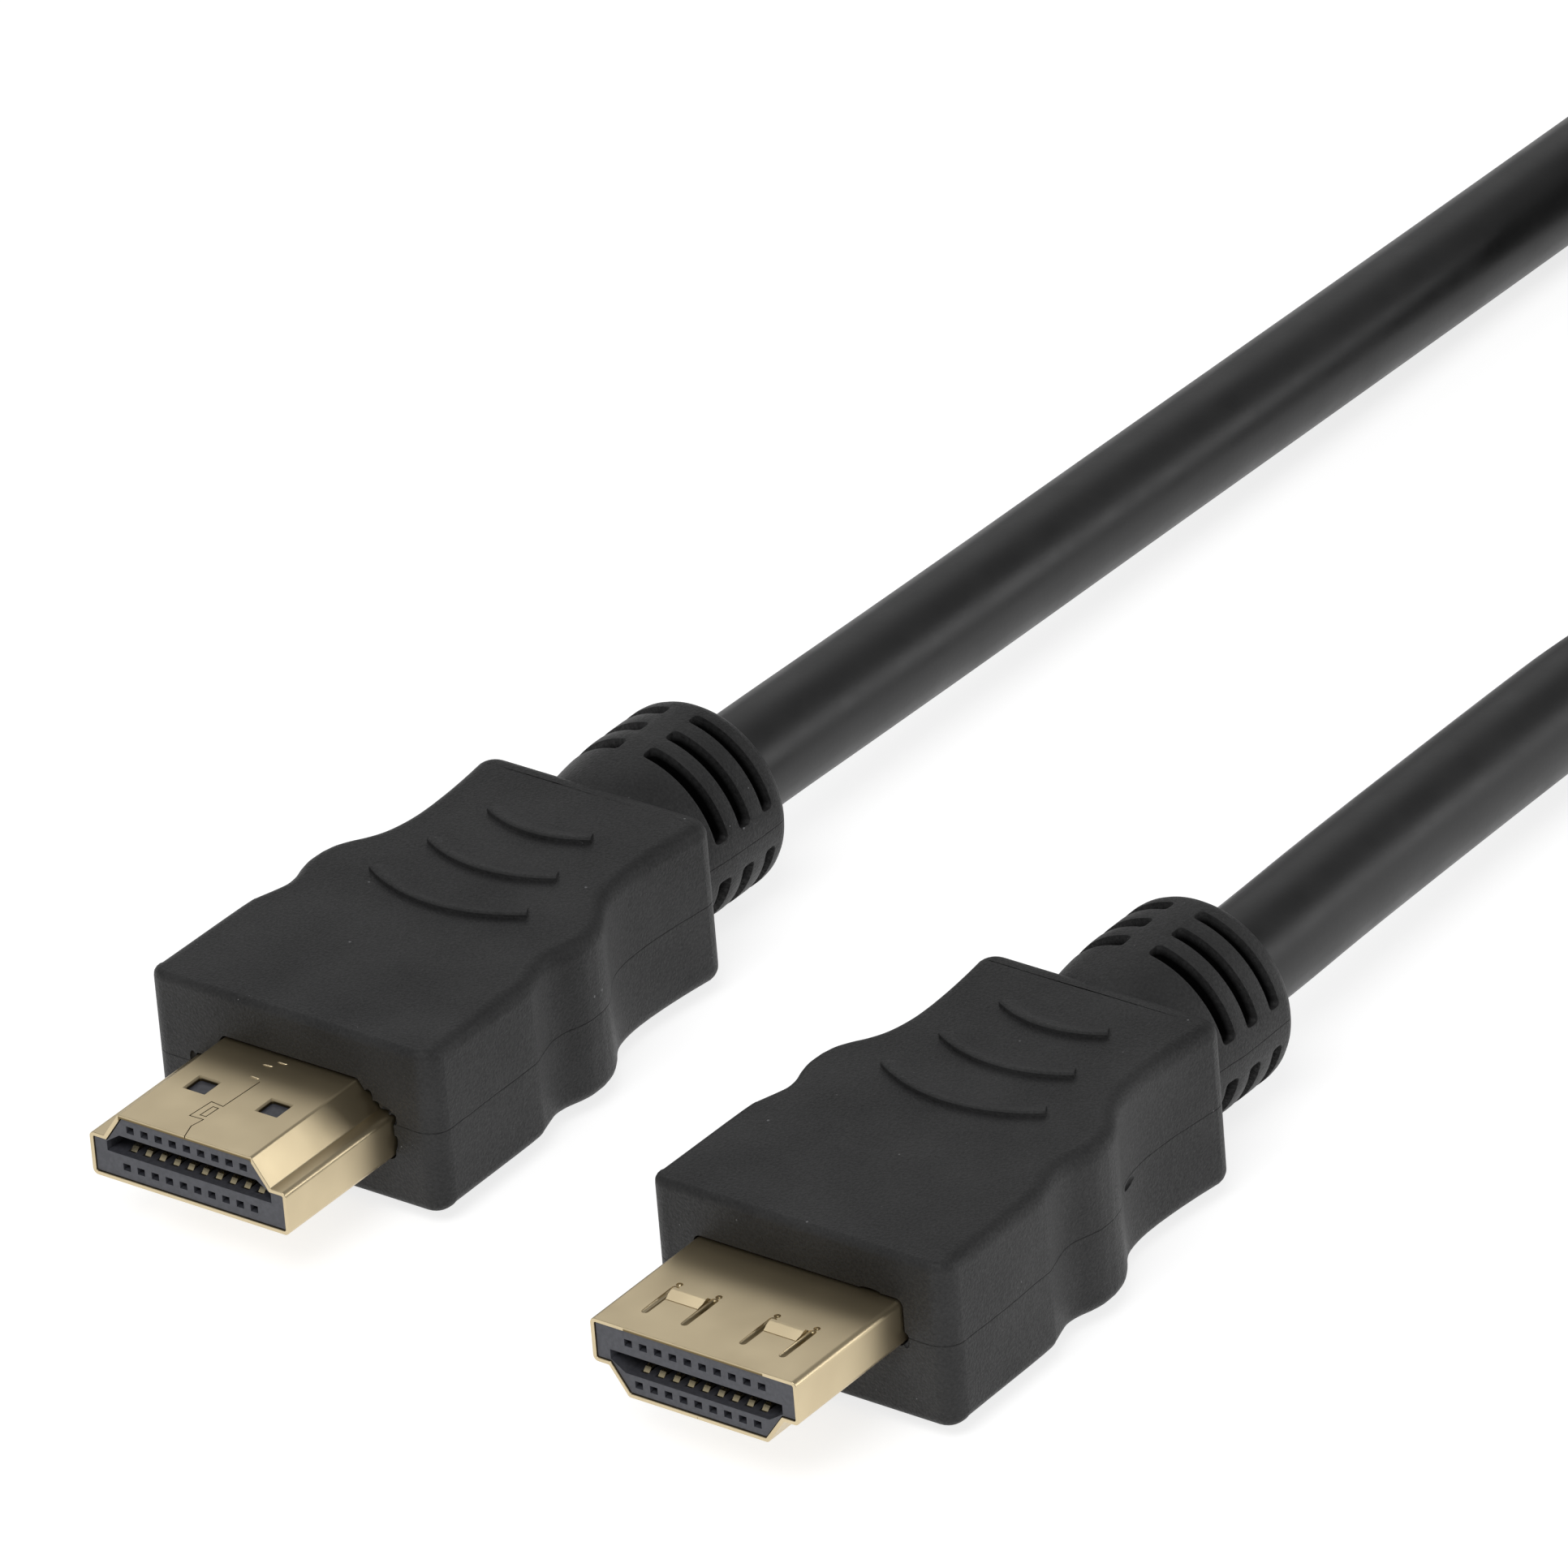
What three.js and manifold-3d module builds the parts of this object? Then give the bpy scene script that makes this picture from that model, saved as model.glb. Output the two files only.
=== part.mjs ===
// An audio and video cable: two identical moulded plugs on the ends of one thick round cable. The
// plugs lie side by side, the left one turned over, and the spare length of the cable lies behind
// them in a round coil held by a tie. Millimetres, +Z up, the mating faces look towards -Y.

import * as THREE from 'three';
import { mergeVertices } from 'three/addons/utils/BufferGeometryUtils.js';
import Module from 'manifold-3d';

const wasm = await Module();
wasm.setup();

// Metal shell: a D section, wide side up, 13.9 x 4.45 over the metal.
const SHELL_WIDTH = 13.9;
const SHELL_HEIGHT = 4.45;
const SHELL_NARROW_WIDTH = 9.4;
const SHELL_SIDE_HEIGHT = 2.76;
const SHELL_SHELF = 1.05;
const SHELL_WALL = 0.25;
const SHELL_CORNER = 0.35;
const SHELL_VISIBLE = 9.6;
const SHELL_INSERT = 5.0;

// Two pairs of pressed grooves on the wide side, with a raised bar across each pair.
const LATCH_OFFSET = 3.3;
const LATCH_SPACING = 2.66;
const LATCH_GROOVE_WIDTH = 0.4;
const LATCH_GROOVE_DEPTH = 0.18;
const LATCH_FRONT = 1.8;
const LATCH_LENGTH = 3.25;
const LATCH_BAR_FRONT = 3.6;
const LATCH_BAR_LENGTH = 0.85;
const LATCH_BAR_HEIGHT = 0.15;

// Two square holes through the narrow side.
const HOLE_OFFSET = 2.55;
const HOLE_SIZE = 1.38;
const HOLE_CENTRE = 4.9;

// Contact block inside the shell.
const BLOCK_CLEARANCE = 0.05;
const BLOCK_RECESS = 0.1;
const BLOCK_LENGTH = 12.5;
const SLOT_DEPTH = 9.0;
const SLOT_HEIGHT = 1.23;
const SLOT_FROM_WIDE_FACE = 1.77;
const SLOT_WIDE_WIDTH = 11.6;
const SLOT_NARROW_WIDTH = 9.7;
const SLOT_SIDE_HEIGHT = 0.6;

// Contacts: ten on the wide side, nine on the narrow side, half a pitch apart.
const PITCH = 1.0;
const WIDE_CONTACTS = 10;
const NARROW_CONTACTS = 9;
const WIDE_ROW_FROM_FACE = 1.02;
const NARROW_ROW_FROM_FACE = 3.55;
const WINDOW_WIDTH = 0.52;
const WINDOW_HEIGHT = 0.44;
const CAVITY_FRONT = 0.6;
const CAVITY_LENGTH = 7.9;
const CONTACT_WIDTH = 0.4;
const CONTACT_THICKNESS = 0.2;
const CONTACT_CLEARANCE = 0.07;
const CONTACT_CREST = 0.22;
const CONTACT_CREST_FROM_FRONT = 1.3;

// Moulded boot. Its side line is given as half widths at shares of its length.
const BOOT_HEIGHT = 10.39;
const BOOT_EDGE = 0.95;
const BOOT_CORNER = 1.3;
const BOOT_LENGTH = 29.4;
const BOOT_CLEARANCE = 0.12;
const BOOT_FRONT_HALF_WIDTH = 10.08;
const BOOT_REAR_HALF_WIDTH = 8.05;
const BOOT_SIDE = [
  [10.02, 0.293], [9.84, 0.337], [9.5, 0.374], [9.32, 0.401], [9.4, 0.432], [9.68, 0.463],
  [9.86, 0.493], [9.84, 0.531], [9.6, 0.565], [9.12, 0.595], [8.55, 0.622], [8.08, 0.653],
  [7.78, 0.69], [7.62, 0.735], [7.6, 0.782], [7.68, 0.837], [7.84, 0.898],
];

// Arched grip ridges on both broad faces: [chord half width, rise, middle at a share of the boot].
const RIDGES = [[5.6, 1.65, 0.48], [4.6, 1.25, 0.633], [3.7, 1.0, 0.793]];
const RIDGE_SHIFT = -0.8;
const RIDGE_WIDTH = 0.8;
const RIDGE_HEIGHT = 0.25;

// Neck and slotted strain relief, moulded in one piece with the boot.
const RELIEF_DIAMETER = 12.0;
const RELIEF_ROOT_DIAMETER = 11.2;
const RELIEF_LENGTH = 9.6;
const RELIEF_SHOULDER = 1.2;
const RELIEF_SLOT_DEPTH = 1.5;
const RELIEF_SLOTS = [[0.286, 0.115], [0.51, 0.109], [0.74, 0.094]];
const RELIEF_SIDE_RIB = 24;
const RELIEF_TOP_RIB = 17;
const RELIEF_SOCKET = 2.5;
const RELIEF_SOCKET_CLEARANCE = 0.25;

// Cable and its coil.
const CABLE_DIAMETER = 6.46;
const CABLE_END_GAP = 0.3;
const COIL_BEHIND = 116.61;
const COIL_ASIDE = 23.4;
const COIL_INNER_TURN = 25.4;
const COIL_TURNS_WIDE = 3.875;
const COIL_LAYERS = 2;
const TIE_THICKNESS = 0.5;
const TIE_WIDTH = 12;
const TIE_CLEARANCE = 0.3;
const TIE_ANGLE = 70;

// Where the plugs lie: their axes are parallel, and the strain reliefs rest on the surface.
const PLUG_SPACING = 38.26;
const PLUG_STAGGER = 4.18;
const PLUG_LENGTH = SHELL_VISIBLE + BOOT_LENGTH + RELIEF_LENGTH;
const AXIS_HEIGHT = RELIEF_DIAMETER / 2;
const RIGHT_PLUG = [PLUG_SPACING / 2, -(PLUG_LENGTH + PLUG_STAGGER) / 2];
const LEFT_PLUG = [-PLUG_SPACING / 2, RIGHT_PLUG[1] + PLUG_STAGGER];

// The uncoiled stretches as they lie, from each strain relief's socket to the coil. Distances back
// are from the left plug's strain relief.
const REAR = LEFT_PLUG[1] + PLUG_LENGTH;
const SOCKET_FLOOR = PLUG_LENGTH - RELIEF_SOCKET + CABLE_END_GAP;
const LEFT_LEAD = [
  [-19.13, 1.61, 5.98], [-19.2, 6.61, 5.85], [-19.35, 13.61, 5.55], [-19.52, 25.61, 5.15],
  [-19.75, 41.61, 4.7], [-19.9, 57.61, 4.4], [-20.12, 73.61, 4.2], [-20.25, 84.61, 4.08],
  [-20.3, 91.81, 4.03],
];
const RIGHT_LEAD = [
  [19.12, -2.39, 6.0], [18.95, 2.61, 5.92], [18.6, 7.61, 5.72], [18.17, 14.61, 5.4],
  [17.7, 23.61, 5.0], [17.3, 31.61, 4.62], [17.25, 35.61, 4.5], [17.6, 39.91, 4.5],
  [18.75, 44.81, 4.65], [20.7, 49.41, 4.95], [23.3, 53.71, 5.35], [26.6, 57.51, 5.85],
  [31.0, 61.96, 6.65], [37.2, 68.16, 7.8],
];

const ALONG_Y = new THREE.Matrix4().makeBasis(
  new THREE.Vector3(1, 0, 0), new THREE.Vector3(0, 0, -1), new THREE.Vector3(0, 1, 0),
);
const ALONG_X = new THREE.Matrix4().makeBasis(
  new THREE.Vector3(0, 1, 0), new THREE.Vector3(0, 0, 1), new THREE.Vector3(1, 0, 0),
);

const black = new THREE.MeshStandardMaterial({ color: 0x2b2b2c, roughness: 0.62, metalness: 0 });
const jacket = new THREE.MeshStandardMaterial({ color: 0x242425, roughness: 0.55, metalness: 0 });
const gold = new THREE.MeshStandardMaterial({ color: 0xc9b68a, roughness: 0.34, metalness: 1 });
const bright = new THREE.MeshStandardMaterial({ color: 0xd8c48e, roughness: 0.25, metalness: 1 });
const slate = new THREE.MeshStandardMaterial({ color: 0x46464c, roughness: 0.6, metalness: 0 });
const strap = new THREE.MeshStandardMaterial({ color: 0x1c1c1c, roughness: 0.8, metalness: 0 });

/** Turns a closed geometry into a solid for joining and cutting. */
function toSolid(geometry) {
  const bare = geometry.clone();
  bare.deleteAttribute('normal');
  bare.deleteAttribute('uv');
  const merged = mergeVertices(bare, 1e-5);
  return new wasm.Manifold(new wasm.Mesh({
    numProp: 3,
    vertProperties: new Float32Array(merged.attributes.position.array),
    triVerts: new Uint32Array(merged.index.array),
  }));
}

/** Turns a solid back into a geometry. */
function toGeometry(solid) {
  const mesh = solid.getMesh();
  const geometry = new THREE.BufferGeometry();
  geometry.setAttribute('position', new THREE.BufferAttribute(mesh.vertProperties, 3));
  geometry.setIndex(new THREE.BufferAttribute(mesh.triVerts, 1));
  geometry.computeVertexNormals();
  return geometry;
}

/** A box solid given by its low corner and its size. */
function boxSolid([x, y, z], [dx, dy, dz]) {
  const box = new THREE.BoxGeometry(dx, dy, dz);
  box.translate(x + dx / 2, y + dy / 2, z + dz / 2);
  return toSolid(box);
}

/** Rounds the corners of a polygon with short arcs, by one radius or one for each corner. */
function rounded(points, radius, segments = 3) {
  const out = [];
  points.forEach((point, i) => {
    const corner = new THREE.Vector2(...point);
    const before = new THREE.Vector2(...points[(i + points.length - 1) % points.length]);
    const after = new THREE.Vector2(...points[(i + 1) % points.length]);
    const inward = before.sub(corner).normalize();
    const outward = after.sub(corner).normalize();
    const r = Array.isArray(radius) ? radius[i] : radius;
    const half = inward.angleTo(outward) / 2;
    if (r === 0 || half > 1.5) {
      out.push(corner);
      return;
    }
    const reach = r / Math.tan(half);
    const start = corner.clone().addScaledVector(inward, reach);
    const end = corner.clone().addScaledVector(outward, reach);
    const middle = inward.clone().add(outward).normalize();
    const centre = corner.clone().addScaledVector(middle, r / Math.sin(half));
    const from = start.clone().sub(centre).angle();
    let sweep = end.clone().sub(centre).angle() - from;
    if (sweep > Math.PI) sweep -= 2 * Math.PI;
    if (sweep < -Math.PI) sweep += 2 * Math.PI;
    for (let k = 0; k <= segments; k += 1) {
      const angle = from + (sweep * k) / segments;
      out.push(new THREE.Vector2(centre.x + r * Math.cos(angle), centre.y + r * Math.sin(angle)));
    }
  });
  return out;
}

/** Moves each edge of a counter-clockwise polygon inwards by a distance. */
function inset(points, distance) {
  const lines = points.map((point, i) => {
    const next = points[(i + 1) % points.length];
    const length = Math.hypot(next[0] - point[0], next[1] - point[1]);
    const dir = [(next[0] - point[0]) / length, (next[1] - point[1]) / length];
    return { dir, at: [point[0] - dir[1] * distance, point[1] + dir[0] * distance] };
  });
  return lines.map((line, i) => {
    const last = lines[(i + lines.length - 1) % lines.length];
    const cross = last.dir[0] * line.dir[1] - last.dir[1] * line.dir[0];
    const gap = [line.at[0] - last.at[0], line.at[1] - last.at[1]];
    const t = (gap[0] * line.dir[1] - gap[1] * line.dir[0]) / cross;
    return [last.at[0] + last.dir[0] * t, last.at[1] + last.dir[1] * t];
  });
}

/** A prism along Y from an outline in X and Z. */
function prismAlongY(outline, from, length) {
  const flipped = outline.map((p) => new THREE.Vector2(p.x, -p.y));
  const geometry = new THREE.ExtrudeGeometry(new THREE.Shape(flipped), {
    depth: length, bevelEnabled: false,
  });
  geometry.applyMatrix4(ALONG_Y);
  geometry.translate(0, from, 0);
  return geometry;
}

/** The shell's outer outline in X and Z, counter-clockwise, wide side up. */
function shellOutline() {
  const top = SHELL_HEIGHT / 2;
  const wide = SHELL_WIDTH / 2;
  const narrow = SHELL_NARROW_WIDTH / 2;
  const shelf = wide - SHELL_SHELF;
  const low = top - SHELL_SIDE_HEIGHT;
  return [
    [narrow, -top], [shelf, low], [wide, low], [wide, top],
    [-wide, top], [-wide, low], [-shelf, low], [-narrow, -top],
  ];
}

/** The rounded section of the shell, grown or shrunk by an inset. */
function shellSection(distance) {
  const points = distance === 0 ? shellOutline() : inset(shellOutline(), distance);
  const corner = Math.max(SHELL_CORNER - distance, 0.08);
  return rounded(points, corner, 2);
}

/** Metal shell with its pressed grooves, bars and square holes. */
function shellGeometry() {
  const length = SHELL_VISIBLE + SHELL_INSERT;
  let solid = toSolid(prismAlongY(shellSection(0), 0, length));
  solid = solid.subtract(toSolid(prismAlongY(shellSection(SHELL_WALL), -1, length + 2)));
  const top = SHELL_HEIGHT / 2;
  for (const side of [-1, 1]) {
    const centre = side * LATCH_OFFSET;
    for (const edge of [-1, 1]) {
      const x = centre + (edge * LATCH_SPACING) / 2 - LATCH_GROOVE_WIDTH / 2;
      solid = solid.subtract(boxSolid(
        [x, LATCH_FRONT, top - LATCH_GROOVE_DEPTH], [LATCH_GROOVE_WIDTH, LATCH_LENGTH, 1],
      ));
    }
    const bar = LATCH_SPACING - LATCH_GROOVE_WIDTH;
    solid = solid.add(boxSolid(
      [centre - bar / 2, LATCH_BAR_FRONT, top - SHELL_WALL / 2],
      [bar, LATCH_BAR_LENGTH, SHELL_WALL / 2 + LATCH_BAR_HEIGHT],
    ));
    solid = solid.subtract(boxSolid(
      [side * HOLE_OFFSET - HOLE_SIZE / 2, HOLE_CENTRE - HOLE_SIZE / 2, -top - 1],
      [HOLE_SIZE, HOLE_SIZE, 1 + SHELL_WALL * 1.5],
    ));
  }
  return toGeometry(solid);
}

/** The contact rows: where the slot's wall is, which way is into the wall, and how deep. */
const top = SHELL_HEIGHT / 2;
const SLOT_TOP = top - SLOT_FROM_WIDE_FACE;
const SLOT_BOTTOM = SLOT_TOP - SLOT_HEIGHT;
const ROWS = [
  {
    name: 'wide', count: WIDE_CONTACTS, wall: SLOT_TOP, into: 1,
    depth: top - WIDE_ROW_FROM_FACE + WINDOW_HEIGHT / 2 - SLOT_TOP,
  },
  {
    name: 'narrow', count: NARROW_CONTACTS, wall: SLOT_BOTTOM, into: -1,
    depth: SLOT_BOTTOM - (top - NARROW_ROW_FROM_FACE - WINDOW_HEIGHT / 2),
  },
];

/** The distance of a contact from the middle of its row. */
function contactX(row, index) {
  return (index - (row.count - 1) / 2) * PITCH;
}

/** Contact block: the slot, a window for each contact, and a cavity behind each window. */
function blockGeometry() {
  const section = shellSection(SHELL_WALL + BLOCK_CLEARANCE);
  let solid = toSolid(prismAlongY(section, BLOCK_RECESS, BLOCK_LENGTH));
  const slot = rounded([
    [SLOT_NARROW_WIDTH / 2, SLOT_BOTTOM], [SLOT_WIDE_WIDTH / 2, SLOT_TOP - SLOT_SIDE_HEIGHT],
    [SLOT_WIDE_WIDTH / 2, SLOT_TOP], [-SLOT_WIDE_WIDTH / 2, SLOT_TOP],
    [-SLOT_WIDE_WIDTH / 2, SLOT_TOP - SLOT_SIDE_HEIGHT], [-SLOT_NARROW_WIDTH / 2, SLOT_BOTTOM],
  ], 0, 1);
  solid = solid.subtract(toSolid(prismAlongY(slot, -1, SLOT_DEPTH + 1)));
  for (const row of ROWS) {
    for (let i = 0; i < row.count; i += 1) {
      const x = contactX(row, i) - WINDOW_WIDTH / 2;
      const far = row.wall + row.into * row.depth;
      const near = far - row.into * WINDOW_HEIGHT;
      const windowLow = Math.min(far, near);
      const window = boxSolid([x, -1, windowLow], [WINDOW_WIDTH, 1 + CAVITY_FRONT + 0.5, WINDOW_HEIGHT]);
      const slack = 0.2;
      const cavityLow = row.into > 0 ? row.wall - slack : far;
      const cavity = boxSolid(
        [x, CAVITY_FRONT, cavityLow], [WINDOW_WIDTH, CAVITY_LENGTH, row.depth + slack],
      );
      solid = solid.subtract(window.add(cavity));
    }
  }
  return toGeometry(solid);
}

/** One spring contact: a strip that lies in its cavity and arches into the slot near its front. */
function contactGeometry(row) {
  const back = CAVITY_FRONT + CAVITY_LENGTH - CONTACT_CLEARANCE;
  const bed = row.depth - CONTACT_CLEARANCE;
  const nose = CAVITY_FRONT + CONTACT_CLEARANCE;
  const crest = CONTACT_CREST_FROM_FRONT;
  const arch = [
    [nose, 0.5], [nose + 0.14, 0.08], [crest - 0.24, -CONTACT_CREST + 0.06], [crest, -CONTACT_CREST],
    [crest + 0.3, -CONTACT_CREST + 0.08], [crest + 1.9, bed - CONTACT_THICKNESS],
    [back, bed - CONTACT_THICKNESS], [back, bed], [crest + 1.85, bed],
    [crest + 0.24, -CONTACT_CREST + 0.08 + CONTACT_THICKNESS],
    [crest, -CONTACT_CREST + CONTACT_THICKNESS], [crest - 0.14, 0.04],
    [nose + 0.3, 0.16], [nose + CONTACT_THICKNESS, 0.5],
  ];
  const points = arch.map(([y, t]) => new THREE.Vector2(y, row.wall + row.into * t));
  const geometry = new THREE.ExtrudeGeometry(new THREE.Shape(points), {
    depth: CONTACT_WIDTH, bevelEnabled: false,
  });
  geometry.translate(0, 0, -CONTACT_WIDTH / 2);
  geometry.applyMatrix4(ALONG_X);
  return geometry;
}

/** The boot's plan outline, counter-clockwise, with its front at the shell's visible length. */
function bootOutline() {
  const front = SHELL_VISIBLE;
  const right = BOOT_SIDE.map(([x, share]) => [x, front + share * BOOT_LENGTH]);
  const left = right.map(([x, y]) => [-x, y]).reverse();
  const corners = [
    [-BOOT_FRONT_HALF_WIDTH, front], [BOOT_FRONT_HALF_WIDTH, front], ...right,
    [BOOT_REAR_HALF_WIDTH, front + BOOT_LENGTH], [-BOOT_REAR_HALF_WIDTH, front + BOOT_LENGTH], ...left,
  ];
  const last = 2 + right.length;
  const radii = corners.map((_, i) => (i < 2 || i === last || i === last + 1 ? BOOT_CORNER : 0));
  return rounded(corners, radii, 3);
}

/** A curved grip ridge on the face that looks up, moved back by a shift. */
function ridgeSolid([half, rise, share], shift) {
  const middle = SHELL_VISIBLE + share * BOOT_LENGTH + shift;
  const steps = 8;
  const outer = [];
  const inner = [];
  for (let i = 0; i <= steps; i += 1) {
    const x = -half + (2 * half * i) / steps;
    const y = middle + rise * (x / half) ** 2;
    outer.push(new THREE.Vector2(x, y - RIDGE_WIDTH / 2));
    inner.unshift(new THREE.Vector2(x, y + RIDGE_WIDTH / 2));
  }
  const sunk = 0.5;
  const geometry = new THREE.ExtrudeGeometry(new THREE.Shape([...outer, ...inner]), {
    depth: RIDGE_HEIGHT + sunk, bevelEnabled: false,
  });
  geometry.translate(0, 0, BOOT_HEIGHT / 2 - sunk);
  return toSolid(geometry);
}

/** Turned neck and strain relief, sunk a little into the boot. */
function reliefSolid() {
  const root = SHELL_VISIBLE + BOOT_LENGTH;
  const end = root + RELIEF_LENGTH;
  const r = RELIEF_DIAMETER / 2;
  const rootR = RELIEF_ROOT_DIAMETER / 2;
  const profile = [[0, root - 1.5], [rootR - 0.8, root - 1.5], [rootR, root]];
  profile.push([(rootR + r) / 2, root + RELIEF_LENGTH * 0.28], [r, root + RELIEF_LENGTH * 0.58]);
  for (let k = 0; k <= 3; k += 1) {
    const angle = (k / 3) * (Math.PI / 2);
    profile.push([
      r - RELIEF_SHOULDER + RELIEF_SHOULDER * Math.cos(angle),
      end - RELIEF_SHOULDER + RELIEF_SHOULDER * Math.sin(angle),
    ]);
  }
  profile.push([0, end]);
  return toSolid(new THREE.LatheGeometry(profile.map((p) => new THREE.Vector2(...p)), 32));
}

/** One slot of the strain relief: part of a ring between two ribs, at shares of its length. */
function slotSolid(from, width, startDegrees, endDegrees) {
  const inner = RELIEF_DIAMETER / 2 - RELIEF_SLOT_DEPTH;
  const outer = RELIEF_DIAMETER / 2 + 1;
  const steps = 6;
  const points = [];
  for (let i = 0; i <= steps; i += 1) {
    const angle = THREE.MathUtils.degToRad(startDegrees + ((endDegrees - startDegrees) * i) / steps);
    points.push(new THREE.Vector2(outer * Math.cos(angle), outer * Math.sin(angle)));
  }
  for (let i = steps; i >= 0; i -= 1) {
    const angle = THREE.MathUtils.degToRad(startDegrees + ((endDegrees - startDegrees) * i) / steps);
    points.push(new THREE.Vector2(inner * Math.cos(angle), inner * Math.sin(angle)));
  }
  const root = SHELL_VISIBLE + BOOT_LENGTH;
  return toSolid(prismAlongY(points, root + from * RELIEF_LENGTH, width * RELIEF_LENGTH));
}

/** Boot, neck and strain relief as one moulding, with a pocket for the shell. */
function bootGeometry() {
  const body = new THREE.ExtrudeGeometry(new THREE.Shape(bootOutline()), {
    depth: BOOT_HEIGHT - 2 * BOOT_EDGE,
    bevelEnabled: true,
    bevelThickness: BOOT_EDGE,
    bevelSize: BOOT_EDGE,
    bevelOffset: -BOOT_EDGE,
    bevelSegments: 2,
  });
  body.translate(0, 0, -BOOT_HEIGHT / 2 + BOOT_EDGE);
  let solid = toSolid(body).add(reliefSolid());
  for (const ridge of RIDGES) {
    solid = solid.add(ridgeSolid(ridge, 0));
    solid = solid.add(ridgeSolid(ridge, RIDGE_SHIFT).rotate([0, 180, 0]));
  }
  for (const [from, width] of RELIEF_SLOTS) {
    for (const quarter of [0, 180]) {
      const side = RELIEF_SIDE_RIB / 2;
      const crown = RELIEF_TOP_RIB / 2;
      solid = solid.subtract(slotSolid(from, width, quarter + side, quarter + 90 - crown));
      solid = solid.subtract(slotSolid(from, width, quarter + 90 + crown, quarter + 180 - side));
    }
  }
  const pocket = shellSection(-BOOT_CLEARANCE);
  solid = solid.subtract(toSolid(
    prismAlongY(pocket, SHELL_VISIBLE - 1, 1 + SHELL_INSERT + CABLE_END_GAP),
  ));
  const socket = new THREE.CylinderGeometry(
    CABLE_DIAMETER / 2 + RELIEF_SOCKET_CLEARANCE, CABLE_DIAMETER / 2 + RELIEF_SOCKET_CLEARANCE,
    RELIEF_SOCKET + 1, 24,
  );
  socket.translate(0, PLUG_LENGTH - RELIEF_SOCKET + (RELIEF_SOCKET + 1) / 2, 0);
  return toGeometry(solid.subtract(toSolid(socket)));
}

/** A named mesh. */
function mesh(name, geometry, material) {
  const item = new THREE.Mesh(geometry, material);
  item.name = name;
  return item;
}

const shell = shellGeometry();
const block = blockGeometry();
const boot = bootGeometry();

/** One complete plug. Its axis is the Y axis, its mating face is at the origin. */
function plug(side) {
  const group = new THREE.Group();
  group.add(mesh(`${side}_shell`, shell, gold));
  group.add(mesh(`${side}_contact_block`, block, slate));
  group.add(mesh(`${side}_boot`, boot, black));
  for (const row of ROWS) {
    for (let i = 0; i < row.count; i += 1) {
      const contact = mesh(`${side}_${row.name}_contact_${i + 1}`, contactGeometry(row), bright);
      contact.position.x = contactX(row, i);
      group.add(contact);
    }
  }
  return group;
}

/** A round tube from a plug's socket along hand-placed points. */
function tubeGeometry(plugAt, points, steps) {
  const start = new THREE.Vector3(plugAt[0], plugAt[1] + SOCKET_FLOOR, AXIS_HEIGHT);
  const laid = points.map(([x, back, z]) => new THREE.Vector3(x, REAR + back, z));
  const path = new THREE.CatmullRomCurve3([start, ...laid], false, 'centripetal');
  const section = new THREE.Shape();
  section.absarc(0, 0, CABLE_DIAMETER / 2, 0, Math.PI * 2);
  return new THREE.ExtrudeGeometry(section, {
    steps, bevelEnabled: false, extrudePath: path, curveSegments: 5,
  });
}

const COIL_LIFT = TIE_THICKNESS + TIE_CLEARANCE;
const COIL_LOW = COIL_INNER_TURN - CABLE_DIAMETER / 2;
const COIL_HIGH = COIL_LOW + COIL_TURNS_WIDE * CABLE_DIAMETER;
const COIL_TOP = COIL_LIFT + COIL_LAYERS * CABLE_DIAMETER;

/** The outer shape of all the turns: a ring that stands just clear of the surface. */
function coilGeometry() {
  const c = 1.5;
  const profile = rounded([
    [COIL_LOW, COIL_LIFT], [COIL_HIGH, COIL_LIFT], [COIL_HIGH, COIL_TOP], [COIL_LOW, COIL_TOP],
  ], c, 2);
  profile.push(profile[0].clone());
  const geometry = new THREE.LatheGeometry(profile, 48);
  geometry.rotateX(Math.PI / 2);
  geometry.translate(COIL_ASIDE, REAR + COIL_BEHIND, 0);
  return geometry;
}

/** A strap that wraps the coil's section once. */
function tieGeometry() {
  const bow = COIL_LOW - Math.sqrt(COIL_LOW ** 2 - (TIE_WIDTH / 2) ** 2);
  const low = [COIL_LOW - bow - TIE_CLEARANCE, COIL_LIFT - TIE_CLEARANCE];
  const high = [COIL_HIGH + TIE_CLEARANCE, COIL_TOP + TIE_CLEARANCE];
  const t = TIE_THICKNESS;
  const outer = rounded([
    [low[0] - t, low[1] - t], [high[0] + t, low[1] - t],
    [high[0] + t, high[1] + t], [low[0] - t, high[1] + t],
  ], 1.6, 3);
  const inner = rounded([low, [high[0], low[1]], high, [low[0], high[1]]], 1.1, 3);
  const shape = new THREE.Shape(outer);
  shape.holes.push(new THREE.Path(inner));
  const geometry = new THREE.ExtrudeGeometry(shape, { depth: TIE_WIDTH, bevelEnabled: false });
  geometry.translate(0, 0, -TIE_WIDTH / 2);
  geometry.rotateX(Math.PI / 2);
  geometry.rotateZ(THREE.MathUtils.degToRad(TIE_ANGLE));
  geometry.translate(COIL_ASIDE, REAR + COIL_BEHIND, 0);
  return geometry;
}

const cable = new THREE.Group();

const leftPlug = plug('left');
leftPlug.rotation.y = Math.PI;
leftPlug.position.set(LEFT_PLUG[0], LEFT_PLUG[1], AXIS_HEIGHT);
cable.add(leftPlug);

const rightPlug = plug('right');
rightPlug.position.set(RIGHT_PLUG[0], RIGHT_PLUG[1], AXIS_HEIGHT);
cable.add(rightPlug);

cable.add(mesh('left_lead', tubeGeometry(LEFT_PLUG, LEFT_LEAD, 9), jacket));
cable.add(mesh('right_lead', tubeGeometry(RIGHT_PLUG, RIGHT_LEAD, 14), jacket));
cable.add(mesh('coil', coilGeometry(), jacket));
cable.add(mesh('tie', tieGeometry(), strap));

export default cable;
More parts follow.
